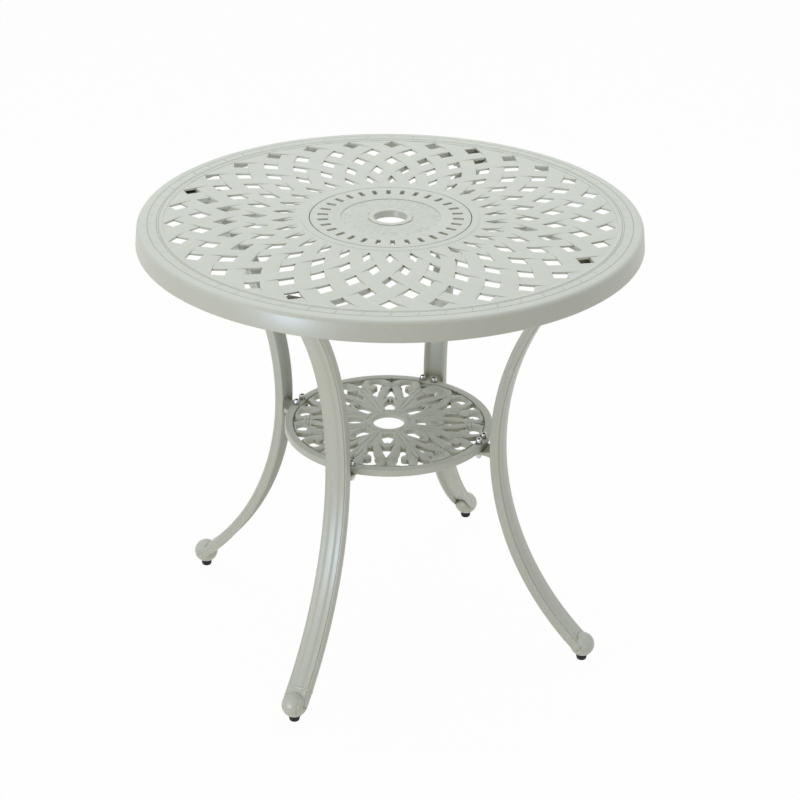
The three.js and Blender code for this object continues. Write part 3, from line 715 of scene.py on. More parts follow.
def seat_profile():
    """Ring with the ledge that carries the middle disc."""
    face = TABLE_HEIGHT - EDGE_ROUNDING
    return [
        (LEDGE_INNER, LEDGE_BOTTOM),
        (LEDGE_INNER, LEDGE_TOP - FINE_EDGE),
        (LEDGE_INNER + FINE_EDGE, LEDGE_TOP),
        (SEAT_RADIUS, LEDGE_TOP),
        *arc((SEAT_RADIUS + EDGE_ROUNDING, face), EDGE_ROUNDING, 180, 90, 3),
        *arc((SEAT_OUTER - EDGE_ROUNDING, face), EDGE_ROUNDING, 90, 0, 3),
        (SEAT_OUTER, LEDGE_BOTTOM + EDGE_ROUNDING),
        (SEAT_OUTER - EDGE_ROUNDING, LEDGE_BOTTOM),
    ]


def fastener_places(radius, spread):
    """Matrices of the two fasteners of each leg."""
    places = []
    for leg in range(LEG_COUNT):
        for side in (-1, 1):
            places.append(turn_z(leg * QUARTER_TURN) @ shift(radius, side * spread / 2))
    return places


def boss():
    """Boss under the border, with a fillet where it meets the deck."""
    foot = BOSS_RADIUS + BOSS_FILLET
    profile = [
        (0, BOSS_BOTTOM),
        (BOSS_RADIUS - BOSS_EDGE, BOSS_BOTTOM),
        (BOSS_RADIUS, BOSS_BOTTOM + BOSS_EDGE),
        *arc((foot, DECK_BOTTOM - BOSS_FILLET), BOSS_FILLET, 180, 90, 4),
        (foot, DECK_BOTTOM + SINK),
        (0, DECK_BOTTOM + SINK),
    ]
    return solid_lathe(profile, BOSS_FACETS)


def make_table_top(coat):
    skins = [lathe(border_profile(), border_angles(), shape_border)]
    skins.append(lathe(seat_profile(), even_angles(SEAT_FACETS)))
    for family in (1, -1):
        for pair in range(STRAP_PAIRS):
            azimuth = FIRST_CROSSING_AZIMUTH_DEGREES + pair * 360 / STRAP_PAIRS
            skins.append(tube(strap_rows(azimuth, family, strap_section)))
    for azimuth in RIB_AZIMUTHS_DEGREES:
        skins.append(tube(strap_rows(azimuth, -1, rib_section)))
    places = fastener_places(TOP_BOLT_RADIUS, TOP_BOLT_SPREAD)
    skins += [boss().moved(matrix) for matrix in places]
    hole = bore(TOP_BOLT_SHANK + BOLT_GAP, BOSS_BOTTOM - SINK, BOSS_BOTTOM + TOP_BOLT_BITE + BOLT_GAP)
    cuts = [hole.moved(matrix) for matrix in places]
    make_piece("woven_top", "table_frame", "table_top", coat, skins, cuts)


# Middle disc

def palmette_curves():
    """Centre lines of the ornament of one sector, each with its half width and its share of the height.

    The first axis runs outwards from the middle of the disc and the second across the sector.
    """
    inner = COLLAR_RADIUS + PALMETTE_INSETS[0]
    outer = DISC_FIELD_RADIUS - PALMETTE_INSETS[1]
    along = np.linspace(0, 1, PALMETTE_POINTS)
    curves = []
    for lobe in LOBES:
        radius = inner + (outer - inner) * (1 - LOBE_SHORTER_SHARE * abs(lobe)) * along
        across = lobe * (LOBE_SPREAD + LOBE_FLARE * np.sin(along * LOBE_BEND))
        curves.append((radius, across, LOBE_HALF_WIDTH, 1.0 - LOBE_LOWER_SHARE * abs(lobe)))
    angle = np.linspace(0, SCROLL_TURN, PALMETTE_POINTS)
    size = SCROLL_RADIUS * (1 - SCROLL_SHRINK_SHARE * angle)
    for side in (-1, 1):
        radius = outer - SCROLL_INSET + size * np.cos(angle + SCROLL_START)
        across = side * (SCROLL_OFFSET + size * np.sin(angle + SCROLL_START) * SCROLL_FLAT_SHARE)
        curves.append((radius, across, SCROLL_HALF_WIDTH, 1.0))
        radius = inner + STEM_INSETS[0] + (outer - inner - sum(STEM_INSETS)) * along
        across = side * (STEM_OFFSET + STEM_LEAN * along + STEM_WAVE * np.sin(along * STEM_WAVE_BEND))
        curves.append((radius, across, STEM_HALF_WIDTH, STEM_HEIGHT_SHARE))
    return curves


def ornament_height(radius, angle):
    """Height of the low relief of the disc's field."""
    place = from_middle(angle, FULL_TURN / PALMETTE_COUNT)
    x = radius * np.cos(place)
    y = radius * np.sin(place)
    height = np.zeros_like(radius)
    for outwards, across, half_width, share in palmette_curves():
        distance = np.full(radius.shape, np.inf)
        for px, py in zip(outwards, across):
            distance = np.minimum(distance, (x - px) ** 2 + (y - py) ** 2)
        height = np.maximum(height, np.exp(-distance / half_width**2) * share)
    return height * RELIEF_HEIGHT


def disc_step(radius, step):
    return [(radius + out, TABLE_HEIGHT - drop) for out, drop in step]


def disc_profile():
    top = TABLE_HEIGHT
    bottom = top - DISC_THICKNESS
    socket = HOLE_RADIUS + SOCKET_WALL
    collar_rows = np.linspace(HOLE_RADIUS + COLLAR_FLAT_INSETS[0], COLLAR_RADIUS - COLLAR_FLAT_INSETS[1], 3)
    field_rows = np.arange(COLLAR_RADIUS + FIELD_INSETS[0], DISC_FIELD_RADIUS - FIELD_INSETS[1], FIELD_GRID)
    return [
        (HOLE_RADIUS, DISC_BOTTOM + SOCKET_EDGE),
        *arc((HOLE_RADIUS + HOLE_ROUNDING, top - HOLE_ROUNDING), HOLE_ROUNDING, 180, 90, 4),
        *[(float(radius), top) for radius in collar_rows],
        *disc_step(COLLAR_RADIUS, COLLAR_STEP),
        *[(float(radius), top - DISC_FIELD_DROP) for radius in field_rows],
        *disc_step(DISC_FIELD_RADIUS, FIELD_STEP),
        *disc_step(DISC_RING_RADIUS, RING_STEP),
        *arc((DISC_RADIUS - EDGE_ROUNDING, top - EDGE_ROUNDING), EDGE_ROUNDING, 90, 0, 3),
        (DISC_RADIUS, bottom + FINE_EDGE),
        (DISC_RADIUS - FINE_EDGE, bottom),
        (socket + SOCKET_FILLET, bottom),
        (socket, bottom - SOCKET_FILLET),
        (socket, DISC_BOTTOM + SOCKET_EDGE),
        (socket - SOCKET_EDGE, DISC_BOTTOM),
        (HOLE_RADIUS + SOCKET_EDGE, DISC_BOTTOM),
    ]


def shape_disc(radius, angle, height):
    """Raises the ornament in the field and scallops the collar."""
    low = COLLAR_RADIUS + RELIEF_INSETS[0]
    high = DISC_FIELD_RADIUS - RELIEF_INSETS[1]
    upper = height > TABLE_HEIGHT - DISC_THICKNESS / 2
    inside = (radius > low) & (radius < high) & upper
    fade = np.clip((radius - low) / RELIEF_FADE, 0, 1) * np.clip((high - radius) / RELIEF_FADE, 0, 1)
    raised = height + ornament_height(radius, angle) * fade * inside
    near = np.clip(1 - np.abs(radius - COLLAR_RADIUS) / COLLAR_SCALLOP_REACH, 0, 1) * upper
    scallop = COLLAR_SCALLOP_DEPTH * (0.5 - np.abs(np.cos(angle * COLLAR_SCALLOPS / 2)))
    return radius - scallop * near, angle, raised


def slot_outline():
    """Slot along +X, with rounded corners."""
    half_length = SLOT_LENGTH / 2
    half_width = SLOT_WIDTH / 2
    outline = []
    for sx, sy, start in ((1, 1, 0), (-1, 1, 90), (-1, -1, 180), (1, -1, 270)):
        center = (sx * (half_length - SLOT_ROUNDING), sy * (half_width - SLOT_ROUNDING))
        outline += arc(center, SLOT_ROUNDING, start, start + 90, 4)
    return np.array(outline) + [SLOT_RADIUS, 0]


def slot_cut():
    """Slot that narrows downwards, with a soft upper edge."""
    top = TABLE_HEIGHT
    soft = ROUND_SHARE * SLOT_EDGE
    levels = (
        (SLOT_DRAFT, top - DISC_THICKNESS - SINK), (0, top - SLOT_EDGE), (-soft, top - soft),
        (-SLOT_EDGE, top), (-3 * SLOT_EDGE, top + SLOT_EDGE),
    )
    return stacked(slot_outline(), levels)


def make_disc(coat):
    skins = [lathe(disc_profile(), even_angles(DISC_FACETS), shape_disc)]
    slot = slot_cut().moved(turn_z(math.radians(SLOT_TURN_DEGREES)))
    cuts = [slot.moved(turn_z(number * FULL_TURN / SLOT_COUNT)) for number in range(SLOT_COUNT)]
    make_piece("middle_disc", "disc", "centre_disc", coat, skins, cuts)


# Shelf

# Ridges of the shelf's relief: the drop of the crest below the top, the fall to the sides, and a chain of
# (along, across, half width). The first group lies along a tie's azimuth and the second along a leaf's.
TIE_RIDGES = (
    (1.1, 1.8, ((40, 9.5, 3), (60, 14.2, 4.2), (80, 17, 5.6), (92, 15.5, 6.6), (104, 14.4, 7.3),
                (127, 8, 7.6))),
    (0.9, 2.4, ((58, 13, 2.0), (66, 11.2, 3.2), (76, 9, 4.2), (84, 5.5, 4.4), (88, 2.6, 4.2))),
    (1.0, 2.2, ((77, 0, 2.4), (84, 0, 3.2), (90, 0, 2.6))),
    (1.1, 2.2, ((120, 7.2, 7), (141, 7.2, 7.2), (149, 9.5, 6.3), (154.5, 16, 5), (156, 26, 4.7),
                (154.5, 36, 5), (149.5, 42.5, 5.8), (140, 44.3, 6.7), (130, 43.6, 7.6), (123, 39.5, 8),
                (122, 35, 7))),
    (0.5, 2.2, ((124, 31.5, 8.6), (126, 31, 8.6))),
    (0.3, 1.9, ((128.6, 0, 2.5), (128.6, 13, 2.5))),
    (0.2, 1.9, ((133.6, 0, 2.5), (133.6, 13.4, 2.5))),
    (0.3, 1.9, ((138.6, 0, 2.5), (138.6, 13, 2.5))),
)
LEAF_RIDGES = (
    (0.7, 1.5, ((37, 0, 2.8), (60, 0, 4), (80, 0, 4.8), (92, 0, 5.4), (99, 0, 3.8))),
    (1.0, 1.6, ((38, 3.2, 2.4), (50, 5.2, 2.8), (62, 7.2, 3.8), (76, 8.8, 4.6), (88, 9.2, 4.8),
                (93.5, 8, 3.6))),
    (1.3, 1.8, ((42, 5.5, 2.2), (50, 8.4, 2.8), (62, 11.6, 3.4), (74, 14, 4), (83, 14.6, 4),
                (87, 13.6, 3.2))),
    (0.9, 1.9, ((97, 0, 3.8), (112, 0, 4.6), (124, 0, 4.2), (131, 0, 2.4))),
    (1.2, 2.0, ((98, 3.8, 3.6), (107, 7.2, 4.6), (116, 8.6, 4.8), (122, 7, 4))),
)
HUB_RIDGES = ((1.2, 1.8, 31.0, 5.6), (1.9, 1.6, 40.5, 4.6))
HUB_SCALLOPS = 16
HUB_SCALLOP_DEPTH = 0.5
RIDGE_POWER = 3.2

# Holes of the shelf: (along, across) of a tie's azimuth, or of a leaf's for the one beyond its tip
BUD_HOLE = ((42.5, 0), (46, 4.5), (47.5, 9.5), (56, 10.5), (63, 9), (70, 6), (76.5, 0))
STEM_HOLE = ((91.5, 0), (91.5, 8.1), (99, 7.6), (106, 6.5), (118, 3.3), (127, 0))
SLIT = ((147, 0), (159.3, 2.2), (159.3, 0))
TIP_HOLE = ((134, 0), (140, 3.3), (147, 7), (156.9, 14.8), (158.6, 0))
HOOK_SLOT = (
    (116.5, 30.6), (105, 31.3), (96, 30.4), (93.2, 28.6), (93.2, 23.2),
    (94.6, 21.8), (106, 21.2), (115, 18.8), (122, 16.4), (129, 14.9),
)
HOOK_POCKET = ((139.8, 25.9), 11.3, (-90, 130))
HOOK_BULB = ((126.0, 31.0), 7.4, (28, -150))


def ridge_height(along, across, ridge):
    """Height over a grid of one rounded ridge that follows its chain."""
    drop, fall, chain = ridge
    nearest = np.full(along.shape, 1e9)
    for (x0, y0, w0), (x1, y1, w1) in zip(chain, chain[1:]):
        dx, dy = x1 - x0, y1 - y0
        share = np.clip(((along - x0) * dx + (across - y0) * dy) / (dx * dx + dy * dy), 0, 1)
        distance = np.hypot(along - x0 - dx * share, across - y0 - dy * share)
        nearest = np.minimum(nearest, distance / (w0 + (w1 - w0) * share))
    return SHELF_TOP - drop - fall * nearest**RIDGE_POWER


def shelf_relief(radius, angle):
    """Height of the shelf's upper face between its hub and its rim."""
    pitch = FULL_TURN / LEAF_COUNT
    from_leaf = np.abs(from_middle(angle, pitch))
    from_tie = pitch / 2 - from_leaf
    height = np.full(radius.shape, SHELF_TOP - SHELF_CREASE)
    for turn, ridges in ((from_tie, TIE_RIDGES), (from_leaf, LEAF_RIDGES)):
        for ridge in ridges:
            height = np.maximum(height, ridge_height(radius * np.cos(turn), radius * np.sin(turn), ridge))
    wave = HUB_SCALLOP_DEPTH * np.abs(np.cos(angle * HUB_SCALLOPS / 2))
    for number, (drop, fall, middle, half_width) in enumerate(HUB_RIDGES):
        away = np.abs((radius - middle) / (half_width + wave * number))
        height = np.maximum(height, SHELF_TOP - drop - fall * away**RIDGE_POWER)
    return height


def shape_shelf(radius, angle, height):
    """Gives the upper face of the plate its relief."""
    start = SHELF_HOLE_RADIUS + SHELF_HUB_ROUNDING
    upper = (height > SHELF_TOP - SHELF_PLATE_DEPTH / 2) & (radius > start)
    relief = shelf_relief(radius, angle)
    from_line = np.maximum(SHELF_INNER - SHELF_LINE_WIDTH - radius, 0)
    line = SHELF_TOP - SHELF_LINE_DROP + from_line * SHELF_LINE_SLOPE
    return radius, angle, np.where(upper, np.minimum(relief, line), height)


def shelf_plate_profile():
    """Plate with a rounded edge round the pole hole. shape_shelf sets the height of its upper face."""
    bottom = SHELF_TOP - SHELF_PLATE_DEPTH
    rounding = SHELF_HUB_ROUNDING
    edge = SHELF_HOLE_RADIUS + rounding
    top = SHELF_TOP - HUB_RIDGES[0][0] - SHELF_HUB_DROP
    rows = np.arange(edge + SHELF_GRID / 2, SHELF_INNER + 2, SHELF_GRID)
    return [
        *arc((edge, bottom + rounding), rounding, 270, 180, 5),
        *arc((edge, top - rounding), rounding, 180, 90, 5),
        *[(float(r), top) for r in rows],
        (float(rows[-1]), bottom),
    ]


def shelf_rim_profile():
    inner, outer, rounding = SHELF_INNER, SHELF_RADIUS, SHELF_RIM_ROUNDING
    return [
        (inner, SHELF_BOTTOM + EDGE_ROUNDING),
        *arc((inner + rounding, SHELF_TOP - rounding), rounding, 180, 90, 6),
        *arc((outer - rounding, SHELF_TOP - rounding), rounding, 90, 0, 6),
        (outer, SHELF_BOTTOM + EDGE_ROUNDING),
        (outer - EDGE_ROUNDING, SHELF_BOTTOM),
        (inner + EDGE_ROUNDING, SHELF_BOTTOM),
    ]


def rounded_corners(outline, passes=2):
    """Cuts the corners of a closed outline a few times."""
    points = np.asarray(outline, float)
    for _ in range(passes):
        ahead = np.roll(points, -1, axis=0)
        points = np.stack([points * 0.75 + ahead * 0.25, points * 0.25 + ahead * 0.75], 1).reshape(-1, 2)
    return points


def whole_outline(half):
    """Outline of a hole that is the same on both sides of its azimuth."""
    return rounded_corners(list(half) + mirrored(half[1:-1]))


def hook_outline(side):
    """Hooked slot that runs into the pocket of a scroll and curls round its bulb."""
    outline = arc(HOOK_POCKET[0], HOOK_POCKET[1], *HOOK_POCKET[2], 26)
    outline += arc(HOOK_BULB[0], HOOK_BULB[1], *HOOK_BULB[2], 16)
    outline += rounded_corners(HOOK_SLOT, 1).tolist()[:-1]
    return np.array([(x, side * y) for x, y in outline])


def shelf_holes():
    """Holes of one eighth of the shelf, along a tie at azimuth zero."""
    low = SHELF_BOTTOM - OVERRUN
    high = SHELF_TOP + OVERRUN
    outlines = [whole_outline(half) for half in (BUD_HOLE, STEM_HOLE, SLIT)]
    outlines += [hook_outline(side) for side in (-1, 1)]
    holes = [prism(outline, low, high) for outline in outlines]
    tip_hole = prism(whole_outline(TIP_HOLE), low, high)
    return holes + [tip_hole.moved(turn_z(FULL_TURN / LEAF_COUNT / 2))]


def make_shelf(coat):
    plate = lathe(shelf_plate_profile(), even_angles(SHELF_FACETS), shape_shelf)
    rim = lathe(shelf_rim_profile(), even_angles(SHELF_RIM_FACETS))
    hole = bore(SCREW_SHANK + BOLT_GAP, SHELF_BOTTOM - OVERRUN, SHELF_TOP + OVERRUN)
    cuts = [hole.moved(matrix) for matrix in fastener_places(SHELF_SCREW_RADIUS, SHELF_SCREW_SPREAD)]
    for number in range(LEAF_COUNT):
        cuts += moved_all(shelf_holes(), turn_z((number + 0.5) * FULL_TURN / LEAF_COUNT))
    make_piece("openwork_shelf", "table_frame", "shelf", coat, [plate, rim], cuts)


# Legs

def arc_through(out, along):
    """Radius of an arc that starts upright and ends this far out and this far up or down."""
    return (out * out + along * along) / (2 * out)


LOWER_ARC = arc_through(FOOT_RADIUS - WAIST_RADIUS, WAIST_HEIGHT - FOOT_CENTER_HEIGHT)
UPPER_ARC = arc_through(LEG_TOP_RADIUS - WAIST_RADIUS, FLANGE_TOP - WAIST_HEIGHT)
FOOT_TURN = -math.asin((WAIST_HEIGHT - FOOT_CENTER_HEIGHT) / LOWER_ARC)
TOP_TURN = math.asin((FLANGE_TOP - WAIST_HEIGHT) / (UPPER_ARC - LEG_DEPTH / 2))


def on_leg_arc(turn, offset):
    """Radius and height of a point on the leg's arc, offset towards the arc's centre."""
    bend = LOWER_ARC if turn < 0 else UPPER_ARC
    reach = bend - offset
    return WAIST_RADIUS + bend - reach * math.cos(turn), WAIST_HEIGHT + reach * math.sin(turn)


def leg_ring(section, turn):
    """A section of (outwards, across) points set square to the leg's arc."""
    ring = []
    for outwards, across in section:
        x, z = on_leg_arc(turn, outwards)
        ring.append((x, across, z))
    return ring


def leg_section():
    """Stepped and crowned outer face, grooved sides and an open channel on the inner side."""
    outer = LEG_DEPTH / 2
    side = LEG_WIDTH / 2
    soft = ROUND_SHARE * LEG_EDGE
    groove_start = outer - EDGE_DROP - GROOVE_WIDTH / 2
    half = [(outer - drop, side * share) for drop, share in LEG_FACE]
    for width_share, depth_share in GROOVE_SHARES:
        half.append((groove_start - width_share * GROOVE_WIDTH, side - GROOVE_DEPTH * depth_share))
    half += [(LEG_EDGE - outer, side), (soft - outer, side - soft), (-outer, side - LEG_EDGE)]
    for out, across in CHANNEL_LIP:
        half.append((out - outer, side - CHANNEL_WALL + across))
    for out, across in CHANNEL_FLOOR:
        half.append((CHANNEL_DEPTH - outer + out, side - CHANNEL_WALL * 2 + across))
    return half + mirrored(half[1:])


def stem():
    """The leg's section along both arcs, a little smaller towards the top."""
    section = leg_section()
    rows = []
    for share in np.linspace(0, 1, LEG_STEPS + 1):
        scale = 1 + (LEG_TOP_SHARE - 1) * share
        scaled = [(outwards * scale, across * scale) for outwards, across in section]
        rows.append(leg_ring(scaled, FOOT_TURN + (TOP_TURN - FOOT_TURN) * share))
    return tube(rows)


def bead_section(height):
    """Section of the band this high above the leg's face, open over the channel."""
    outer = LEG_DEPTH / 2
    side = LEG_WIDTH / 2 + height
    half = [(outer + height - drop, side * share) for drop, share in BEAD_FACE]
    half += [(BEAD_EDGE - outer, side), (-outer, side - BEAD_EDGE), (-outer, side - BEAD_WALL)]
    half.append((BEAD_INSIDE, side - BEAD_INSIDE_WALL))
    return half + mirrored(half)


def foot_bead():
    """Rounded band round the leg above the ball."""
    start = FOOT_TURN + BEAD_REACH / LOWER_ARC
    rows = []
    for angle in np.linspace(0, math.pi, BEAD_STEPS + 1):
        turn = start + BEAD_LENGTH * (1 - math.cos(angle)) / 2 / LOWER_ARC
        rows.append(leg_ring(bead_section(BEAD_HEIGHT * (2 * math.sin(angle) - 1)), turn))
    return tube(rows)


def foot_ball():
    """Ball turned about an axis across the leg, with a ring groove and a raised button on each side."""
    half = FOOT_BALL_WIDTH / 2
    radius = FOOT_BALL_RADIUS
    side = [(ring, half - drop) for ring, drop in BALL_BUTTON]
    for angle in np.linspace(math.asin(half / radius), 0, BALL_STEPS + 1):
        ring = radius * math.cos(angle)
        if ring > side[-1][0] + BALL_POINT_GAP:
            side.append((ring, radius * math.sin(angle)))
    grooved = []
    for ring, along in side:
        dent = BALL_GROOVE_DEPTH * math.exp(-(((along - BALL_GROOVE_PLACE) / BALL_GROOVE_HALF_WIDTH) ** 2))
        grooved.append((ring - dent, along))
    skin = solid_lathe(grooved + mirrored(grooved[:-1]), BALL_FACETS)
    turn = np.array(Matrix.Rotation(QUARTER_TURN, 4, "X"))
    return skin.moved(turn).moved(shift(FOOT_RADIUS, 0, FOOT_CENTER_HEIGHT))


def flange():
    inner = LEG_TOP_RADIUS - FLANGE_INNER_REACH + FLANGE_INNER_CORNER
    outer = TOP_BOLT_RADIUS + FLANGE_OUTER_REACH - FLANGE_CORNER
    half_inner = FLANGE_WIDTH / 2 - FLANGE_INNER_CORNER
    half_outer = FLANGE_WIDTH / 2 - FLANGE_CORNER
    outline = [
        *arc((inner, -half_inner), FLANGE_INNER_CORNER, 180, 270, 3),
        *arc((outer, -half_outer), FLANGE_CORNER, 270, 360, 8),
        *arc((outer, half_outer), FLANGE_CORNER, 0, 90, 8),
        *arc((inner, half_inner), FLANGE_INNER_CORNER, 90, 180, 3),
    ]
    levels = (
        (EDGE_ROUNDING, FLANGE_BOTTOM), (0.0, FLANGE_BOTTOM + EDGE_ROUNDING),
        (0.0, FLANGE_TOP - FINE_EDGE), (FINE_EDGE, FLANGE_TOP),
    )
    return stacked(outline, levels)


def shelf_lug():
    """Lug that reaches in from the leg under the rim of the shelf and thickens at its root."""
    inner = WAIST_RADIUS - LUG_REACH
    bottom = LUG_TOP - LUG_THICKNESS
    fillet = np.linspace(0, 1, LUG_ROOT_STEPS + 1)
    outline = [(inner, bottom + EDGE_ROUNDING), (inner + EDGE_ROUNDING, bottom)]
    start = inner + LUG_FLAT_REACH
    for share in fillet:
        outline.append((start + (WAIST_RADIUS - start) * share, bottom - LUG_ROOT_DROP * share**2))
    start = SHELF_RADIUS + LUG_ROOT_GAP
    for share in fillet[::-1]:
        height = LUG_TOP + LUG_ROOT_RISE * share**LUG_ROOT_POWER
        outline.append((start + (WAIST_RADIUS - start) * share, height))
    outline += [(inner + FINE_EDGE, LUG_TOP), (inner, LUG_TOP - FINE_EDGE)]
    half = LUG_WIDTH / 2
    flat = half - EDGE_ROUNDING
    rows = []
    for inset, across in ((EDGE_ROUNDING, -half), (0.0, -flat), (0.0, flat), (EDGE_ROUNDING, half)):
        ring = inset_outline(np.array(outline), inset)
        rows.append([(x, across, z) for x, z in ring])
    return tube(rows)


def leg_cuts():
    """Everything above the flange and below the foot, and the holes for the fasteners and the stud."""
    reach = TOP_RADIUS
    outline = [(0, -reach), (2 * reach, -reach), (2 * reach, reach), (0, reach)]
    cuts = [prism(outline, FLANGE_TOP, FLANGE_TOP + reach), prism(outline, -reach, FOOT_FLAT_HEIGHT)]
    bolt_hole = bore(TOP_BOLT_SHANK + BOLT_GAP, FLANGE_BOTTOM - OVERRUN, FLANGE_TOP + OVERRUN)
    screw_hole = bore(SCREW_SHANK + BOLT_GAP, NUT_SEAT - OVERRUN, LUG_TOP + OVERRUN)
    for side in (-1, 1):
        cuts.append(bolt_hole.moved(shift(TOP_BOLT_RADIUS, side * TOP_BOLT_SPREAD / 2)))
        cuts.append(screw_hole.moved(shift(SHELF_SCREW_RADIUS, side * SHELF_SCREW_SPREAD / 2)))
    stud_hole = bore(STUD_RADIUS + SEAT_GAP, FOOT_FLAT_HEIGHT - OVERRUN, FOOT_FLAT_HEIGHT + STUD_BORE_DEPTH)
    return cuts + [stud_hole.moved(shift(FOOT_RADIUS, 0))]


def make_legs(coat):
    skins = [stem(), foot_ball(), foot_bead(), flange(), shelf_lug()]
    for number in range(LEG_COUNT):
        turn = turn_z(number * QUARTER_TURN)
        name = f"leg_{number + 1}"
        parts = moved_all(skins, turn)
        cuts = moved_all(leg_cuts(), turn)
        make_piece(f"cast_{name}", "table_frame", name, coat, parts, cuts)


# Fasteners and glides

def threaded(radius, bottom, top):
    """Shank with a real helical thread."""
    angles = even_angles(THREAD_FACETS)
    steps = int((top - bottom) / THREAD_PITCH * THREAD_STEPS)
    rows = []
    for height in np.linspace(bottom, top, steps + 1):
        phase = (height / THREAD_PITCH - angles / FULL_TURN) % 1.0
        depth = THREAD_DEPTH * np.abs(2 * phase - 1)
        if min(height - bottom, top - height) < THREAD_PITCH / 4:
            depth = THREAD_DEPTH
        rows.append(polar(radius - depth, angles, height))
    return tube(rows)


def hex_with_chamfer(radius, bottom, top):
    """Hexagon with its corners rounded off at both ends."""
    angles = even_angles(HEX_FACETS)
    flat = radius * HEX_FLAT_SHARE
    reach = flat / np.cos(from_middle(angles, FULL_TURN / 6))
    edge = [(0.0, flat), (HEX_CHAMFER / 2, flat + HEX_CHAMFER_REACH), (HEX_CHAMFER, radius)]
    levels = [(bottom + inset, cap) for inset, cap in edge]
    levels += [(top - inset, cap) for inset, cap in reversed(edge)]
    return tube([polar(np.minimum(reach, cap), angles, height) for height, cap in levels])


def shelf_screw():
    seat = SHELF_TOP + 2 * SEAT_GAP + SHELF_WASHER_THICKNESS
    top = seat + SCREW_HEAD_HEIGHT
    foot = SCREW_HEAD_FOOT_EDGE
    head = [(0, seat), (SCREW_HEAD - foot, seat), (SCREW_HEAD, seat + foot)]
    head += [(SCREW_HEAD - inset, top - drop) for inset, drop in SCREW_HEAD_EDGE]
    head.append((0, top))
    shank = threaded(SCREW_SHANK, NUT_SEAT - SCREW_BITE, seat + SINK)
    socket = prism(arc((0, 0), SCREW_SOCKET, 0, 300, 5), top - SCREW_SOCKET_DEPTH, top + SINK)
    slope = [(SCREW_SOCKET + out, top + up) for out, up in SOCKET_CHAMFER]
    mouth = solid_lathe([(0, slope[0][1]), *slope, (0, slope[1][1])], SOCKET_FACETS)
    return [solid_lathe(head, HEAD_FACETS), shank], [socket, mouth]


def washer(shank, outer, bottom, thickness):
    inner = shank + BOLT_GAP
    top = bottom + thickness
    edge = WASHER_EDGE
    profile = [
        (inner, bottom + edge), (inner, top - edge), (inner + edge, top), (outer - edge, top),
        (outer, top - edge), (outer, bottom + edge), (outer - edge, bottom), (inner + edge, bottom),
    ]
    return [lathe(profile, even_angles(WASHER_FACETS))], []


def shelf_cap_nut():
    bottom = NUT_SEAT - CAP_NUT_HEX_HEIGHT
    radius = CAP_NUT_HEX * HEX_FLAT_SHARE - CAP_NUT_DOME_STEP
    dome = [(0, bottom - CAP_NUT_DOME_HEIGHT)]
    for angle in np.radians([75, 60, 45, 30, 15, 0]):
        dome.append((radius * math.cos(angle), bottom - CAP_NUT_DOME_HEIGHT * math.sin(angle)))
    dome += [(radius, bottom + HEAD_SINK), (0, bottom + HEAD_SINK)]
    hole = bore(SCREW_SHANK + BOLT_GAP, NUT_SEAT - SCREW_BITE - BOLT_GAP, NUT_SEAT + SINK)
    return [hex_with_chamfer(CAP_NUT_HEX, bottom, NUT_SEAT), solid_lathe(dome, WASHER_FACETS)], [hole]


def top_bolt():
    seat = FLANGE_BOTTOM - 2 * SEAT_GAP - TOP_WASHER_THICKNESS
    head = hex_with_chamfer(TOP_BOLT_HEAD, seat - TOP_BOLT_HEAD_HEIGHT, seat)
    return [head, threaded(TOP_BOLT_SHANK, seat - HEAD_SINK, BOSS_BOTTOM + TOP_BOLT_BITE)], []


def make_fasteners(metal):
    """A copy of each fastener at each of its eight places."""
    shelf_places = fastener_places(SHELF_SCREW_RADIUS, SHELF_SCREW_SPREAD)
    top_places = fastener_places(TOP_BOLT_RADIUS, TOP_BOLT_SPREAD)
    shelf_seat = SHELF_TOP + SEAT_GAP
    top_seat = FLANGE_BOTTOM - SEAT_GAP - TOP_WASHER_THICKNESS
    shelf_washer = washer(SCREW_SHANK, SHELF_WASHER_RADIUS, shelf_seat, SHELF_WASHER_THICKNESS)
    top_washer = washer(TOP_BOLT_SHANK, TOP_WASHER_RADIUS, top_seat, TOP_WASHER_THICKNESS)
    for prefix, (skins, cuts), places in (
        ("shelf_screw", shelf_screw(), shelf_places),
        ("shelf_washer", shelf_washer, shelf_places),
        ("shelf_cap_nut", shelf_cap_nut(), shelf_places),
        ("top_bolt", top_bolt(), top_places),
        ("top_washer", top_washer, top_places),
    ):
        for number, matrix in enumerate(places, 1):
            name = f"{prefix}_{number}"
            parts = moved_all(skins, matrix)
            holes = moved_all(cuts, matrix)
            make_piece(f"fine_{name}", "table_frame", name, metal, parts, holes)


def glide():
    top = FOOT_FLAT_HEIGHT - SEAT_GAP
    profile = [
        (0, 0),
        *arc((GLIDE_BOTTOM - GLIDE_EDGE, GLIDE_EDGE), GLIDE_EDGE, -90, -10, 8),
        *[(GLIDE_TOP - inset, top - drop) for inset, drop in GLIDE_SHOULDER],
        (0, top),
    ]
    return solid_lathe(profile, GLIDE_FACETS), bore(STUD_RADIUS + SEAT_GAP, top - STUD_IN_GLIDE, top + SINK)


def make_glides(plastic, metal):
    foot, hole = glide()
    bottom = FOOT_FLAT_HEIGHT - STUD_IN_GLIDE
    stud = threaded(STUD_RADIUS, bottom, bottom + STUD_LENGTH)
    for number in range(LEG_COUNT):
        matrix = turn_z(number * QUARTER_TURN) @ shift(FOOT_RADIUS, 0)
        body = f"foot_glide_{number + 1}"
        name = f"glide_{number + 1}"
        parts = [foot.moved(matrix)]
        make_piece(f"fine_{name}", body, name, plastic, parts, [hole.moved(matrix)])
        name = f"glide_stud_{number + 1}"
        make_piece(f"fine_{name}", body, name, metal, [stud.moved(matrix)])


# Materials

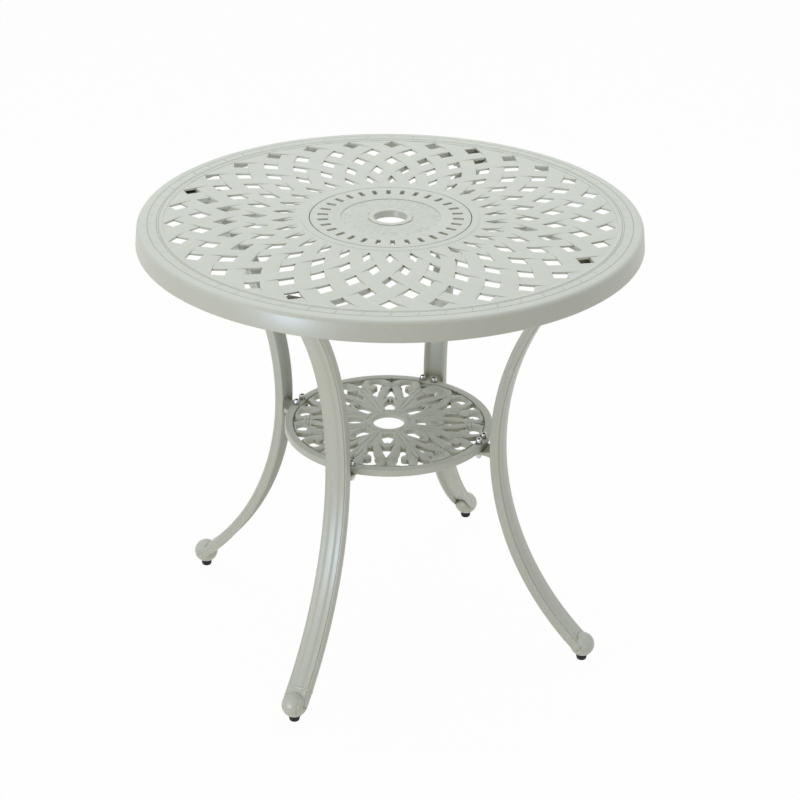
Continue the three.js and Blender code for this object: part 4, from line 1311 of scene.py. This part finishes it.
class Nodes:
    """Short calls for the nodes of one tree. A value may be a number, a colour or another socket."""

    def __init__(self, owner):
        owner.use_nodes = True
        self.tree = owner.node_tree

    def feed(self, node, values):
        """Sets or links the inputs of a node, given as the node or its name, by name or number."""
        inputs = self.tree.nodes[node].inputs if isinstance(node, str) else node.inputs
        for key, value in values.items():
            if isinstance(value, bpy.types.NodeSocket):
                self.tree.links.new(value, inputs[key])
            else:
                inputs[key].default_value = value

    def add(self, kind, values, **settings):
        node = self.tree.nodes.new(kind)
        for key, setting in settings.items():
            setattr(node, key, setting)
        self.feed(node, values)
        return node

    def noise(self, scale, detail, roughness, stretch=None):
        """Noise in object coordinates, in cycles for each metre."""
        place = self.add("ShaderNodeTexCoord", {}).outputs["Object"]
        if stretch:
            place = self.add("ShaderNodeMapping", {"Vector": place, "Scale": stretch}).outputs["Vector"]
        values = {"Vector": place, "Scale": scale, "Detail": detail, "Roughness": roughness}
        return self.add("ShaderNodeTexNoise", values).outputs["Fac"]

    def ramp(self, source, stops):
        node = self.add("ShaderNodeValToRGB", {"Fac": source})
        elements = node.color_ramp.elements
        while len(elements) < len(stops):
            elements.new(0.5)
        for element, (place, color) in zip(elements, stops):
            element.position = place
            element.color = (*color, 1.0)
        return node.outputs["Color"]

    def mix(self, first, second, share, blend_type="MIX"):
        values = {0: share, 6: first, 7: second}
        return self.add("ShaderNodeMix", values, data_type="RGBA", blend_type=blend_type).outputs[2]

    def painted_shade(self, color, reach, stops):
        """Painted shade: darkens a colour where other surfaces lie within this reach, in metres, as if
        shade fell there.
        """
        hollow = self.add("ShaderNodeAmbientOcclusion", {"Distance": reach}, samples=HOLLOW_SAMPLES)
        return self.mix(color, self.ramp(hollow.outputs["AO"], stops), 1.0, "MULTIPLY")

    def span(self, source, low, high, to_low, to_high):
        values = {0: source, 1: low, 2: high, 3: to_low, 4: to_high}
        return self.add("ShaderNodeMapRange", values).outputs[0]

    def bump(self, source, strength, distance):
        values = {"Height": source, "Strength": strength, "Distance": distance}
        return self.add("ShaderNodeBump", values)

    def seen(self):
        """One for the rays that show the background: straight to the camera, reflected or through glass."""
        path = self.add("ShaderNodeLightPath", {})
        seen = path.outputs["Is Camera Ray"]
        for kind in ("Is Glossy Ray", "Is Transmission Ray"):
            either = self.add("ShaderNodeMath", {0: seen, 1: path.outputs[kind]}, operation="MAXIMUM")
            seen = either.outputs[0]
        return seen

    def blend(self, share, first, second):
        """A mix of two shaders."""
        return self.add("ShaderNodeMixShader", {0: share, 1: first, 2: second}).outputs[0]


def powder_coat():
    """Satin powder coat over a sand casting: fine orange peel, faint mottling, painted shade in hollows."""
    material = bpy.data.materials.new("powder_coat_sage")
    nodes = Nodes(material)
    fine = nodes.noise(*COAT_FINE_NOISE)
    tone = nodes.ramp(nodes.noise(*COAT_BROAD_NOISE), COAT_TONES)
    color = nodes.mix(tone, nodes.ramp(fine, COAT_SPECKS), COAT_SPECK_SHARE)
    # Painted shade: the colour darkens in creases, on hole walls and in deep gaps, where shade falls
    color = nodes.painted_shade(color, *COAT_CREVICE_SHADE)
    color = nodes.painted_shade(color, *COAT_HOLLOW_SHADE)
    cast = nodes.bump(nodes.noise(*COAT_CAST_NOISE), *COAT_CAST_BUMP)
    peel = nodes.bump(nodes.noise(*COAT_PEEL_NOISE), *COAT_PEEL_BUMP)
    nodes.feed(peel, {"Normal": cast.outputs["Normal"]})
    roughness = nodes.span(fine, *COAT_ROUGHNESS)
    nodes.feed(SHADER, {"Base Color": color, "Roughness": roughness, "Normal": peel.outputs["Normal"]})
    return material


def bright_steel():
    """Zinc-plated steel with a turned grain and faint stains, and painted shade in its hollows."""
    material = bpy.data.materials.new("zinc_plated_steel")
    nodes = Nodes(material)
    stain = nodes.noise(*STEEL_STAIN_NOISE)
    grain = nodes.bump(nodes.noise(*STEEL_GRAIN_NOISE, STEEL_GRAIN_STRETCH), *STEEL_BUMP)
    nodes.feed(SHADER, {
        # Painted shade: the stained colour darkens in sockets and hollows, where shade falls
        "Base Color": nodes.painted_shade(nodes.ramp(stain, STEEL_TONES), *STEEL_HOLLOW_SHADE),
        "Metallic": 1.0,
        "Roughness": nodes.span(stain, *STEEL_ROUGHNESS),
        "Normal": grain.outputs["Normal"],
    })
    return material


def black_plastic():
    """Moulded plastic, matt with a fine grain and a little dust."""
    material = bpy.data.materials.new("moulded_black_plastic")
    nodes = Nodes(material)
    dust = nodes.noise(*PLASTIC_DUST_NOISE)
    grain = nodes.bump(nodes.noise(*PLASTIC_GRAIN_NOISE), *PLASTIC_BUMP)
    nodes.feed(SHADER, {
        "Base Color": nodes.ramp(dust, PLASTIC_TONES),
        "Specular IOR Level": PLASTIC_SPECULAR,
        "Roughness": nodes.span(dust, *PLASTIC_ROUGHNESS),
        "Normal": grain.outputs["Normal"],
    })
    return material


# Stage

def floor_material():
    """Pale floor that the camera sees as near white, with the table's soft shadow left on it."""
    material = bpy.data.materials.new("pale_floor")
    nodes = Nodes(material)
    tones = nodes.ramp(nodes.noise(*FLOOR_NOISE), FLOOR_TONES)
    nodes.feed(SHADER, {"Base Color": tones, "Roughness": FLOOR_ROUGHNESS, "Specular IOR Level": 0.0})
    white = nodes.add("ShaderNodeEmission", {})
    seen = nodes.add("ShaderNodeMath", {0: nodes.seen(), 1: FLOOR_WHITE_SHARE}, operation="MULTIPLY")
    plain = nodes.tree.nodes[SHADER]
    surface = nodes.blend(seen.outputs[0], plain.outputs[0], white.outputs[0])
    nodes.feed("Material Output", {"Surface": surface})
    return material


def make_floor():
    reach = FLOOR_REACH
    low = -FLOOR_DROP
    skin = Skin()
    skin.grid([[(-reach, -reach, low), (reach, -reach, low)], [(-reach, reach, low), (reach, reach, low)]])
    floor = object_of("floor", skin)
    floor.data.materials.append(floor_material())
    bpy.context.scene.collection.objects.link(floor)


def make_world():
    """Plain studio surround: white to the camera and in reflections, soft grey as light."""
    world = bpy.data.worlds.new("studio")
    nodes = Nodes(world)
    nodes.feed("Background", {"Color": SURROUND_COLOR, "Strength": SURROUND_STRENGTH})
    plain = nodes.tree.nodes["Background"]
    white = nodes.add("ShaderNodeBackground", {"Color": (*WHITE, 1.0)})
    surface = nodes.blend(nodes.seen(), plain.outputs[0], white.outputs[0])
    nodes.feed("World Output", {"Surface": surface})
    bpy.context.scene.world = world


def make_lamp(name, place, target_height, size, power, color, lights):
    """Soft rectangular lamp that is aimed at the table's axis, with its place in millimetres."""
    target = Vector((0, 0, target_height))
    data = bpy.data.lights.new(name, "AREA")
    data.color = color
    data.shape = "RECTANGLE"
    data.size, data.size_y = size
    data.energy = power
    lamp = bpy.data.objects.new(name, data)
    lamp.location = place * MM
    lamp.rotation_mode = "QUATERNION"
    lamp.rotation_quaternion = (target - place).to_track_quat("-Z", "Y")
    lamp.visible_diffuse = lights
    bpy.context.scene.collection.objects.link(lamp)


def make_camera():
    """The photograph's camera. Returns its right and its forward direction."""
    azimuth = math.radians(CAMERA_AZIMUTH_DEGREES)
    yaw = math.radians(CAMERA_YAW_DEGREES)
    data = bpy.data.cameras.new("camera")
    data.sensor_width = SENSOR_WIDTH
    data.lens = FOCAL_PIXELS / PHOTO_PIXELS * SENSOR_WIDTH
    data.clip_end = CLIP_END
    camera = bpy.data.objects.new("camera", data)
    across = CAMERA_DISTANCE * MM
    place = Vector((across * math.cos(azimuth), across * math.sin(azimuth), CAMERA_HEIGHT * MM))
    turn = Matrix.Rotation(azimuth + QUARTER_TURN - yaw, 4, "Z")
    turn @= Matrix.Rotation(QUARTER_TURN - math.radians(CAMERA_PITCH_DEGREES), 4, "X")
    turn @= Matrix.Rotation(math.radians(CAMERA_ROLL_DEGREES), 4, "Z")
    camera.matrix_world = Matrix.Translation(place) @ turn
    bpy.context.scene.collection.objects.link(camera)
    bpy.context.scene.camera = camera
    return turn.col[0], -turn.col[2]


def make_stage():
    make_floor()
    make_world()
    right, forward = make_camera()
    across = Vector((right.x, right.y, 0)).normalized()
    away = Vector((forward.x, forward.y, 0)).normalized()
    for name, (x, y, z), *settings in LAMPS:
        make_lamp(name, across * x + away * y + Vector((0, 0, z)), *settings)
    bpy.context.scene.view_settings.view_transform = "Standard"


coat = powder_coat()
steel = bright_steel()
plastic = black_plastic()
make_table_top(coat)
make_disc(coat)
make_shelf(coat)
make_legs(coat)
make_fasteners(steel)
make_glides(plastic, steel)
make_stage()
